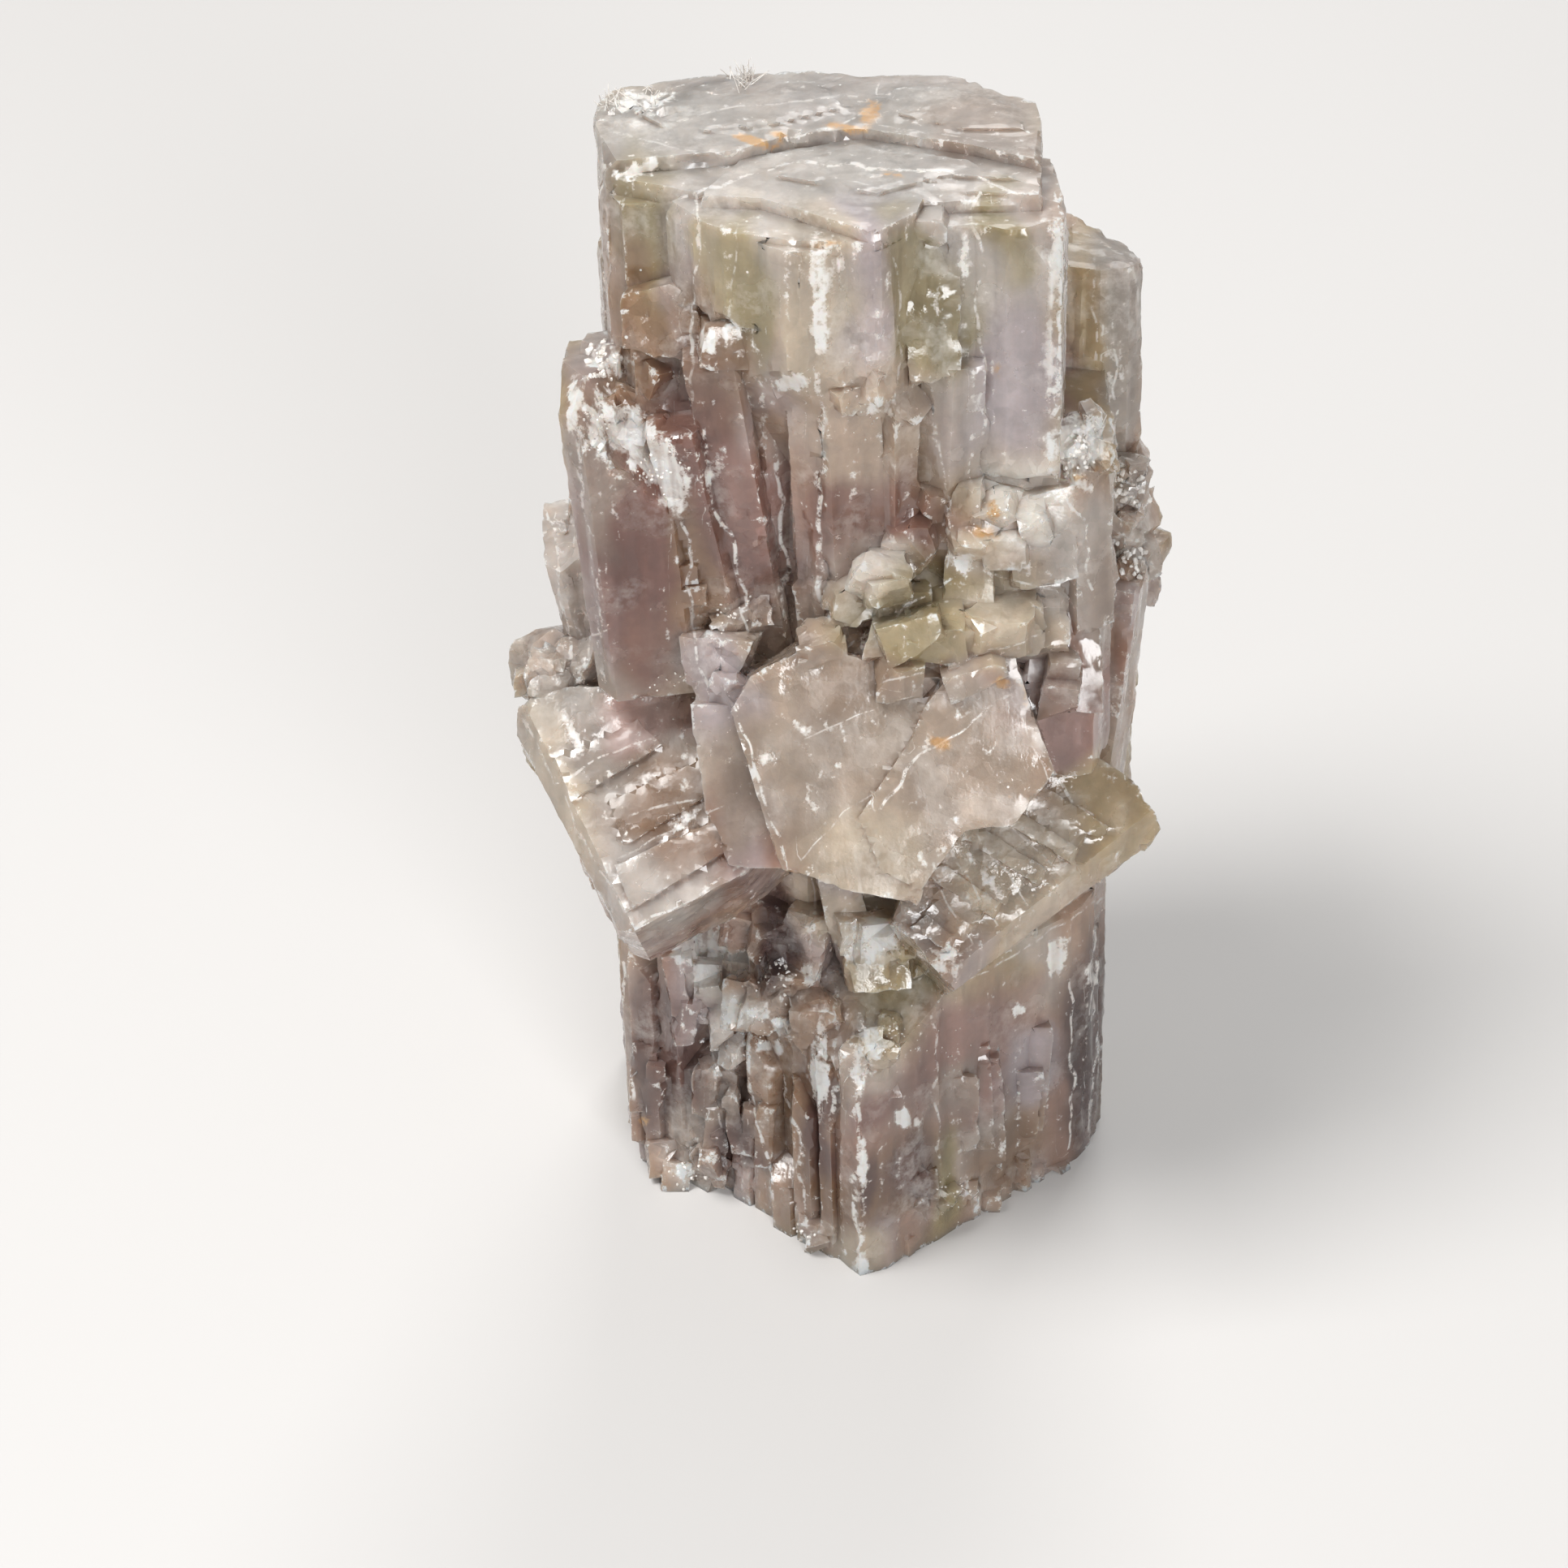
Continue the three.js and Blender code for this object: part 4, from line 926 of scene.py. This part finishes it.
def weather(mesh, shape, sight, broken, smooth):
    """Moves the vertices: growth ridges, broken ground, chipped edges and fine grain."""
    ends = edges_of(mesh)
    start = places_of(mesh)
    normals = normals_of(mesh)
    place = in_column(start)
    facing = normals @ np.array(COLUMN_LEAN)
    upright = 1 - smooth_step(np.abs(facing[:, 2]), 0.1, 0.45)
    rods = 0.5 - 2 * np.abs(noise_at(place, ROD_WIDTH, (1, 1, 0.06), 3.0))
    threads = 0.3 - np.abs(noise_at(place, THREAD_WIDTH, (1, 1, 0.08), 9.0))
    ridges = shape.ridge_depth * upright * (rods + 0.8 * threads) * (1 - 0.9 * smooth)
    coarse, _ = facets_at(place, COARSE_FACET, (1, 1, 0.7), 11)
    small, _ = facets_at(place, SMALL_FACET, (1, 1, 0.6), 12)
    plain = 0.14 * (1 - smooth)
    facets = shape.facet_depth * ((plain + 0.9 * broken) * coarse + 0.75 * broken * small)
    sharp = smooth_step(spread(np.maximum(roundness(mesh, ends), 0), ends, 1), 0.02, 0.09)
    ragged = smooth_step(noise_at(place, CHIP_LENGTH, seed=41.0, octaves=2), 0.0, 0.7)
    chips = -shape.chip_depth * sharp * ragged
    grain = shape.grain_depth * noise_at(place, GRAIN_SIZE, seed=51.0, octaves=2)
    grain = grain * (1 - 0.7 * smooth)
    foot = smooth_step(start[:, 2], *FOOT_HEIGHTS)
    moved = start + normals * ((ridges + facets + chips + grain) * foot)[:, None]
    set_places(mesh, np.clip(moved, CAD_LOW, CAD_HIGH))


def colours_of(place, sight, finish, painted_hollow_shade):
    """The stone's colour at each vertex: cloudy all over, then the zones of the photograph."""
    drift = np.stack([noise_at(place, WARP_SIZE, seed=seed) for seed in (61.0, 71.0, 81.0)], axis=1)
    warped = place + WARP_DEPTH * drift
    colour = np.tile(np.array(finish.stone), (len(place), 1))

    def toward(tint, share):
        return colour + share[:, None] * (np.array(TINTS[tint]) - colour)

    cloud = noise_at(place, CLOUD_SIZE, (1, 1, 0.5), 91.0)
    patchy = noise_at(place, PATCH_SIZE, (1, 1, 0.4), 95.0)
    hidden = 1 - sight.seen
    colour = toward("beige", 0.6 * hidden)
    strength = 0.6 + 0.15 * hidden
    colour = toward("green", strength * smooth_step(cloud, 0.06, 0.4))
    colour = toward("rose", strength * smooth_step(-cloud, 0.06, 0.4))
    colour = toward("pale", strength * smooth_step(patchy, 0.06, 0.4))
    colour = toward("lilac", strength * smooth_step(-patchy, 0.1, 0.4))
    for tint, pixel, reach, turn in COLOUR_ZONES:
        share = zone_share(warped, sight.spot(pixel), reach, turn, 0.4)
        colour = toward(tint, 0.85 * share)
    streaks = 1 + 0.16 * noise_at(place, STREAK_WIDTH, (1, 1, 0.07), 99.0)
    streaks += 0.24 * noise_at(place, MOTTLE_SIZE, (1, 1, 0.45), 103.0, octaves=3)
    _, tone = facets_at(place, TONE_FACET, (1, 1, 0.5), 13)
    colour = colour * (streaks * (0.93 + 0.14 * tone))[:, None]
    # Painted shade: hollows and creases are darkened toward the dark tint.
    return toward("dark", 0.25 * painted_hollow_shade)


def mark(mesh, finish, sight, broken, smooth):
    """Keeps what the material needs at each vertex: its colour, its marks and the fine lines."""
    ends = edges_of(mesh)
    place = in_column(places_of(mesh))
    stands = roundness(mesh, ends)
    worn = smooth_step(spread(np.maximum(stands, 0), ends, 1), 0.01, 0.07)
    # Painted shade: how deep each vertex lies in a hollow or crease, which darkens its colour.
    painted_hollow_shade = smooth_step(spread(np.maximum(-stands, 0), ends, 2), 0.005, 0.06)
    keep_attribute(mesh, "body", np.clip(colours_of(place, sight, finish, painted_hollow_shade), 0, 1))
    hidden = 1 - sight.seen
    blows = smooth_step(noise_at(place, 1.2, (1, 1, 0.45), 111.0), 0.25, 0.7)
    rust = smooth_step(noise_at(place, 2.6, seed=121.0), 0.7, 0.95)
    # Bruises of crazed stone, and painted glints in the lower hollow.
    bruises_and_glints = np.maximum(patches(sight, BRUISES_AND_GLINTS), 0.7 * hidden * blows)
    stains = np.maximum(patches(sight, STAINS), 0.7 * hidden * rust)
    keep_attribute(mesh, "marks", np.stack([bruises_and_glints, stains, worn, smooth], axis=1))
    beside = np.full(len(place), FAR_WIDTHS)
    near = np.zeros(len(place))
    for width, *pixels in LIGHT_LINES:
        strength = np.interp(width, list(LINE_STRENGTHS), list(LINE_STRENGTHS.values()))
        side, away = sight.stroke(pixels)
        share = strength * (1 - smooth_step(away, 0.3, 0.6))
        beside = np.where(share > near, side / width, beside)
        near = np.maximum(near, share)
    keep_attribute(mesh, "lines", np.stack([beside, near, broken], axis=1))


def crumb_form(dice):
    """A small uneven crystal, one across."""
    bpy.ops.object.select_all(action="DESELECT")
    bpy.ops.mesh.primitive_ico_sphere_add(subdivisions=1, radius=0.5)
    form = bpy.context.object
    places = places_of(form.data)
    set_places(form.data, places * dice.uniform(0.6, 1.15, (len(places), 1)))
    return form


def fibre_form(width):
    """A thin needle, one long, that stands on its wide end."""
    bpy.ops.object.select_all(action="DESELECT")
    bpy.ops.mesh.primitive_cone_add(vertices=5, radius1=0.5, radius2=0.2, depth=1)
    form = bpy.context.object
    raised = Matrix.Translation((0, 0, 0.4))
    form.data.transform(raised @ Matrix.Diagonal((width / MM, width / MM, 1, 1)))
    return form


def set_down(form, kind, sight, pixel, reach, size, dice):
    """A copy of a form, turned and scaled at random, on the surface near a pixel."""
    per_mm = PHOTO_FOCAL / sight.depth_at(pixel)
    for _ in range(TRIES):
        near = np.array(pixel) + dice.normal(0, 0.5 * reach * per_mm, 2)
        point, normal = sight.look(near)
        if point is not None:
            break
    else:
        raise RuntimeError(f"no ground for a {kind} near the pixel {pixel}")
    long = size * dice.uniform(0.5, 1.2) * MM
    tilt = Vector(dice.normal(0, 0.5, 3)) + normal
    spin = Matrix.Rotation(dice.uniform(0, 6.3), 4, "Z")
    turn = tilt.to_track_quat("Z", "Y").to_matrix().to_4x4() @ spin
    if kind == "fibre":
        scale = Matrix.Diagonal((MM, MM, long, 1))
    else:
        wide, deep = dice.uniform(0.5, 1.0, 2)
        scale = Matrix.Diagonal((long * wide, long * deep, long, 1))
    copy = bpy.data.objects.new(kind, form.data.copy())
    copy.data.transform(Matrix.Translation(point) @ turn @ scale)
    bpy.context.scene.collection.objects.link(copy)
    return copy


class Wires:
    """Adds nodes to a node tree and links them."""

    def __init__(self, tree):
        self.tree = tree

    def feed(self, node, socket, value):
        """Links a value to a socket, or sets the socket where the value is a plain one."""
        if isinstance(value, bpy.types.NodeSocket):
            self.tree.links.new(value, node.inputs[socket])
        elif value is not None:
            node.inputs[socket].default_value = value

    def node(self, kind, inputs=None, **settings):
        """A node with its settings and its inputs, each a plain value or another node's output."""
        node = self.tree.nodes.new(kind)
        for name, value in settings.items():
            setattr(node, name, value)
        for socket, value in (inputs or {}).items():
            self.feed(node, socket, value)
        return node

    def group(self, tree, **inputs):
        """The first output of a node group."""
        return self.node("ShaderNodeGroup", inputs, node_tree=tree).outputs[0]

    def math(self, operation, first, second=None, third=None, clamp=False):
        inputs = {0: first, 1: second, 2: third}
        settings = {"operation": operation, "use_clamp": clamp}
        return self.node("ShaderNodeMath", inputs, **settings).outputs[0]

    def times(self, first, second):
        return self.math("MULTIPLY", first, second)

    def scaled(self, value, scale, offset):
        """A value times a scale, plus an offset."""
        return self.math("MULTIPLY_ADD", value, scale, offset)

    def larger(self, first, second):
        return self.math("MAXIMUM", first, second)

    def between(self, value, low, high):
        """A value mapped from low..high to 0..1."""
        inputs = {"Value": value, "From Min": low, "From Max": high}
        return self.node("ShaderNodeMapRange", inputs).outputs["Result"]

    def vector(self, operation, first, second=None, scale=None):
        inputs = {0: first, 1: second, "Scale": scale}
        return self.node("ShaderNodeVectorMath", inputs, operation=operation).outputs[0]

    def noise(self, vector, per_mm, detail, roughness):
        """The value of a Noise Texture whose scale is given per millimetre."""
        inputs = {"Vector": vector, "Scale": per_mm / MM, "Detail": detail, "Roughness": roughness}
        return self.node("ShaderNodeTexNoise", inputs).outputs["Fac"]

    def blended(self, share, first, second, kind="MIX"):
        """Two colours mixed by a share."""
        settings = {"data_type": "RGBA", "blend_type": kind}
        return self.node("ShaderNodeMix", {0: share, 6: first, 7: second}, **settings).outputs[2]


def new_group(name, result, **inputs):
    """A node group with one result: its wires, its inputs and the node that takes the result."""
    tree = bpy.data.node_groups.new(name, "ShaderNodeTree")
    number = {"socket_type": "NodeSocketFloat"}
    for socket, value in inputs.items():
        if value is None:
            tree.interface.new_socket(socket, in_out="INPUT", socket_type="NodeSocketVector")
        else:
            tree.interface.new_socket(socket, in_out="INPUT", **number).default_value = value
    tree.interface.new_socket(result, in_out="OUTPUT", **number)
    given = tree.nodes.new("NodeGroupInput").outputs
    return Wires(tree), given, tree.nodes.new("NodeGroupOutput")


def ragged_mask_group():
    """Turns a soft field into a mask with a ragged edge."""
    wires, given, result = new_group(
        "ragged mask", "Mask", Field=0.0, Rough=0.5, Raggedness=1.0, Softness=0.1)
    shift = wires.times(wires.math("SUBTRACT", given["Rough"], 0.5), given["Raggedness"])
    level = wires.math("ADD", given["Field"], shift)
    low = wires.math("SUBTRACT", 0.5, given["Softness"])
    high = wires.math("ADD", 0.5, given["Softness"])
    wires.feed(result, "Mask", wires.between(level, low, high))
    return wires.tree


def growth_line_group():
    """Fine lines along the columns, as heights from 0 to 1."""
    wires, given, result = new_group("growth lines", "Height", Vector=None, Scale=1.0, Stretch=0.06)
    parts = wires.node("ShaderNodeSeparateXYZ", {"Vector": given["Vector"]}).outputs
    along = wires.times(parts["Z"], given["Stretch"])
    drawn = wires.node("ShaderNodeCombineXYZ", {"X": parts["X"], "Y": parts["Y"], "Z": along})
    inputs = {"Vector": drawn.outputs["Vector"], "Scale": given["Scale"]}
    lines = wires.node("ShaderNodeTexNoise", {**inputs, "Detail": 2.0, "Roughness": 0.6})
    wires.feed(result, "Height", lines.outputs["Fac"])
    return wires.tree


def new_material(name):
    """A material, the wires of its tree and its Principled shader."""
    material = bpy.data.materials.new(name)
    material.use_nodes = True
    tree = material.node_tree
    return material, Wires(tree), tree.nodes["Principled BSDF"]


def stone_position(wires):
    """Object coordinates turned into the column's frame, so that Z runs along the columns."""
    source = wires.node("ShaderNodeTexCoord").outputs["Object"]
    inputs = {"Vector": source, "Rotation": COLUMN_LEAN.inverted().to_euler()}
    return wires.node("ShaderNodeMapping", inputs).outputs["Vector"]


def kept_values(wires, name):
    """The four numbers that a piece keeps under a name."""
    kept = wires.node("ShaderNodeAttribute", attribute_name=name).outputs
    parts = wires.node("ShaderNodeSeparateColor", {"Color": kept["Color"]}).outputs
    return parts["Red"], parts["Green"], parts["Blue"], kept["Alpha"]


def facet_normal(wires, normal, chances, broken):
    """The surface's normal, turned a little on each small facet, and more where it is broken."""
    tilt = wires.vector("SUBTRACT", chances, (0.5, 0.5, 0.5))
    tilt = wires.vector("SCALE", tilt, scale=wires.scaled(broken, 0.34, 0.03))
    return wires.vector("NORMALIZE", wires.vector("ADD", normal, tilt))


def crystal_material(finish, groups):
    """The stone: cloudy tinted crystal with white bruises and painted glints, rusty stains and glassy
    breaks.
    """
    material, wires, shader = new_material("aragonite crystal")
    times, scaled, larger, between = wires.times, wires.scaled, wires.larger, wires.between
    ragged = groups["ragged"]
    position = stone_position(wires)
    normal = wires.node("ShaderNodeNewGeometry").outputs["Normal"]
    body = wires.node("ShaderNodeAttribute", attribute_name="body").outputs["Color"]
    bruise_and_glint_field, stained, worn, smooth = kept_values(wires, "marks")
    beside, near, broken, _ = kept_values(wires, "lines")
    fine = wires.noise(position, FINE_PER_MM, 3.0, 0.7)
    cloud = wires.noise(position, CLOUD_PER_MM, 1.0, 0.5)
    growth = wires.group(
        groups["lines"], Vector=position, Scale=LINES_PER_MM / MM, Stretch=0.06)
    flakes = {"Vector": position, "Scale": FLAKES_PER_MM / MM}
    cells = wires.node("ShaderNodeTexVoronoi", flakes).outputs
    chance = wires.node("ShaderNodeSeparateColor", {"Color": cells["Color"]}).outputs["Red"]

    # The body colour, shaded by fine noise, growth lines and flakes.
    lined = scaled(smooth, -0.24, 0.3)
    shade = times(scaled(fine, 0.34, 0.83), scaled(growth, lined, scaled(smooth, 0.12, 0.85)))
    shade = times(shade, scaled(chance, scaled(broken, 0.4, 0.08), 0.92))
    grey = wires.node("ShaderNodeCombineColor", {"Red": shade, "Green": shade, "Blue": shade})
    colour = wires.blended(1.0, body, grey.outputs["Color"], "MULTIPLY")

    # White: clouds inside the stone, bruises and painted glints, worn edges, light lines and a few
    # specks.
    veil = times(between(cloud, 0.5, 0.7), between(fine, 0.4, 0.62))
    veil = times(veil, scaled(smooth, -0.2, 0.28))
    crazed = times(wires.math("ADD", fine, growth), 0.5)
    bruise_and_glint = wires.group(ragged, Field=bruise_and_glint_field, Rough=crazed, Raggedness=3.4, Softness=0.16)
    bruise_and_glint = times(bruise_and_glint, between(growth, 0.2, 0.58))
    bruise_and_glint = times(bruise_and_glint, scaled(between(fine, 0.3, 0.5), 0.3, 0.7))
    edge = wires.group(
        ragged, Field=times(worn, 0.42), Rough=fine, Raggedness=2.2, Softness=0.12)
    wobble = scaled(wires.math("SUBTRACT", cloud, 0.5), 14.0, beside)
    line = between(wires.math("ABSOLUTE", wobble), 1.1, 0.5)
    line = times(line, times(near, between(fine, 0.43, 0.55)))
    speck = wires.math("LESS_THAN", cells["Distance"], scaled(broken, 0.1, 0.09))
    speck = times(speck, wires.math("LESS_THAN", chance, 0.03))
    white = larger(bruise_and_glint, veil)
    for trace, strength in ((edge, 0.8), (line, 0.9), (speck, 0.85)):
        white = larger(white, times(trace, strength))
    colour = wires.blended(white, colour, (*finish.bruise_and_glint, 1))

    stain = wires.group(ragged, Field=stained, Rough=fine, Raggedness=3.4, Softness=0.35)
    stain = times(times(stain, between(stained, 0.05, 0.6)), 0.9)
    wires.feed(shader, "Base Color", wires.blended(stain, colour, (*finish.stain, 1)))

    # Glassy in places, frosted where it is white and on the faces that look up.
    rough = scaled(white, 0.3, scaled(between(cloud, 0.38, 0.62), 0.24, 0.07))
    rise = wires.node("ShaderNodeSeparateXYZ", {"Vector": normal}).outputs["Z"]
    rough = wires.math("MULTIPLY_ADD", between(rise, 0.75, 0.95), 0.3, rough, clamp=True)
    wires.feed(shader, "Roughness", rough)

    rugged = scaled(larger(broken, bruise_and_glint_field), 0.8, 0.12)
    height = scaled(growth, lined, times(fine, rugged))
    inputs = {"Height": height, "Strength": 0.6, "Distance": BUMP_DEPTH}
    bump = wires.node("ShaderNodeBump", inputs)
    wires.feed(bump, "Normal", facet_normal(wires, normal, cells["Color"], broken))
    wires.feed(shader, "Normal", bump.outputs["Normal"])

    shader.inputs["Transmission Weight"].default_value = finish.transmission
    shader.inputs["IOR"].default_value = finish.refraction
    shader.inputs["Coat Weight"].default_value = 0.22
    shader.inputs["Coat Roughness"].default_value = 0.05
    shader.inputs["Subsurface Weight"].default_value = 0.7
    shader.inputs["Subsurface Radius"].default_value = (1.0, 0.75, 0.6)
    shader.inputs["Subsurface Scale"].default_value = 1.6 * MM
    return material


def crumb_material(finish, groups):
    """Loose white fibres and crumbs of crazed stone."""
    material, wires, shader = new_material("crazed aragonite")
    growth = wires.group(
        groups["lines"], Vector=stone_position(wires), Scale=CRUMB_LINES_PER_MM / MM, Stretch=0.3)
    share = wires.between(growth, 0.3, 0.6)
    colour = wires.blended(share, (*srgb(196, 186, 176), 1), (*finish.bruise_and_glint, 1))
    wires.feed(shader, "Base Color", colour)
    wires.feed(shader, "Roughness", wires.scaled(growth, 0.4, 0.15))
    shader.inputs["Transmission Weight"].default_value = 0.3
    shader.inputs["IOR"].default_value = finish.refraction
    return material


def floor_material(colour):
    """A plain pale floor with the faintest unevenness."""
    material, wires, shader = new_material("plain floor")
    source = wires.node("ShaderNodeTexCoord").outputs["Object"]
    uneven = wires.times(wires.noise(source, FLOOR_PER_MM, 2.0, 0.55), 0.06)
    wires.feed(shader, "Base Color", wires.blended(uneven, (*colour, 1), (0.5, 0.5, 0.5, 1)))
    shader.inputs["Roughness"].default_value = 0.6
    return material


class ARAGONITE_OT_crystals(bpy.types.Operator):
    """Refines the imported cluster, weathers it and gives it the stone's finish."""

    bl_idname = "aragonite.crystals"
    bl_label = "Make the crystals"

    def execute(self, context):
        shape, finish = context.scene.aragonite_shape, context.scene.aragonite_finish
        piece = copy_of_node("aragonite_crystals")
        add_blocks(piece, shape.block_seed)
        refine(piece, shape.grid_scale)
        sight = Sight(piece.data)
        broken = broken_share(in_column(places_of(piece.data)), sight)
        smooth = patches(sight, SMOOTH)
        weather(piece.data, shape, sight, broken, smooth)
        mark(piece.data, finish, sight, broken, smooth)
        groups = {"ragged": ragged_mask_group(), "lines": growth_line_group()}
        piece.data.materials.append(crystal_material(finish, groups))
        only(piece)
        bpy.ops.object.shade_smooth_by_angle(angle=CREASE)
        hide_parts(NODE)
        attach(piece, BODY)
        return {"FINISHED"}


class ARAGONITE_OT_crumbs(bpy.types.Operator):
    """Sets the white fibres and the small crumbs of crystal on the surface."""

    bl_idname = "aragonite.crumbs"
    bl_label = "Set the crumbs"

    def execute(self, context):
        shape, finish = context.scene.aragonite_shape, context.scene.aragonite_finish
        ground = bpy.data.objects.get("aragonite_crystals")
        if ground is None:
            raise RuntimeError("the crystals are made first")
        dice = np.random.default_rng(shape.crumb_seed)
        sight = Sight(ground.data)
        kinds = {"fibre": fibre_form(shape.fibre_width), "crumb": crumb_form(dice)}
        copies = []
        for kind, pixel, reach, size, count in CRUMBS:
            for _ in range(count):
                copies.append(set_down(kinds[kind], kind, sight, pixel, reach, size, dice))
        for form in kinds.values():
            bpy.data.objects.remove(form)
        piece = joined(copies)
        piece.name = "aragonite_crumbs"
        places = places_of(piece.data)
        places[:, 2] = np.maximum(places[:, 2], CRUMB_LIFT)
        set_places(piece.data, np.clip(places, CAD_LOW - CRUMB_STAND, CAD_HIGH + CRUMB_STAND))
        groups = {"lines": bpy.data.node_groups["growth lines"]}
        piece.data.materials.append(crumb_material(finish, groups))
        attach(piece, BODY)
        return {"FINISHED"}


class ARAGONITE_OT_stage(bpy.types.Operator):
    """Lays the pale floor and sets the lights and the camera."""

    bl_idname = "aragonite.stage"
    bl_label = "Set the stage"

    def execute(self, context):
        stage = context.scene.aragonite_stage
        bpy.ops.object.select_all(action="DESELECT")
        bpy.ops.mesh.primitive_plane_add(size=stage.floor_side)
        floor = context.object
        floor.name = "floor"
        floor.data.materials.append(floor_material(stage.floor_colour))

        for name, place, side, power, colour in LIGHTS:
            bpy.ops.object.light_add(type="AREA", location=Vector(place) * MM)
            lamp = context.object
            lamp.name = name
            lamp.data.shape = "SQUARE"
            lamp.data.size = side * MM
            lamp.data.energy = power * stage.light_power
            lamp.data.color = colour
            aim = LIGHTS_AIM - lamp.location
            lamp.rotation_euler = aim.to_track_quat("-Z", "Y").to_euler()

        world = bpy.data.worlds.new("studio")
        context.scene.world = world
        world.use_nodes = True
        background = world.node_tree.nodes["Background"]
        background.inputs["Color"].default_value = WORLD_COLOUR
        background.inputs["Strength"].default_value = WORLD_STRENGTH
        context.scene.view_settings.view_transform = "Standard"

        bpy.ops.object.camera_add(location=CAMERA_AT, rotation=(math.pi / 2 - CAMERA_PITCH, 0, 0))
        camera = context.object
        camera.data.sensor_width = SENSOR
        camera.data.lens = PHOTO_FOCAL / PHOTO_SIZE * SENSOR
        camera.data.clip_start = 10 * MM
        camera.data.clip_end = 20
        context.scene.camera = camera
        return {"FINISHED"}


class ARAGONITE_PT_panel(bpy.types.Panel):
    """Lists the steps that make the cluster and its stage."""

    bl_label = "Aragonite"
    bl_idname = "ARAGONITE_PT_panel"
    bl_space_type = "VIEW_3D"
    bl_region_type = "UI"
    bl_category = "Aragonite"

    def draw(self, context):
        layout = self.layout
        for name in SETTINGS:
            group = getattr(context.scene, name)
            for size_or_colour in group.__annotations__:
                layout.prop(group, size_or_colour)
        for step in STEPS:
            layout.operator(step.bl_idname)


STEPS = (ARAGONITE_OT_crystals, ARAGONITE_OT_crumbs, ARAGONITE_OT_stage)
SETTINGS = {
    "aragonite_shape": AragoniteShape,
    "aragonite_finish": AragoniteFinish,
    "aragonite_stage": AragoniteStage,
}
CLASSES = (*SETTINGS.values(), *STEPS, ARAGONITE_PT_panel)


def register():
    for kind in CLASSES:
        bpy.utils.register_class(kind)
    for name, kind in SETTINGS.items():
        setattr(bpy.types.Scene, name, PointerProperty(type=kind))


def unregister():
    for name in SETTINGS:
        delattr(bpy.types.Scene, name)
    for kind in reversed(CLASSES):
        bpy.utils.unregister_class(kind)


def main():
    """Makes every piece and the stage."""
    register()
    bpy.ops.aragonite.crystals()
    bpy.ops.aragonite.crumbs()
    bpy.ops.aragonite.stage()


if __name__ == "__main__":
    main()
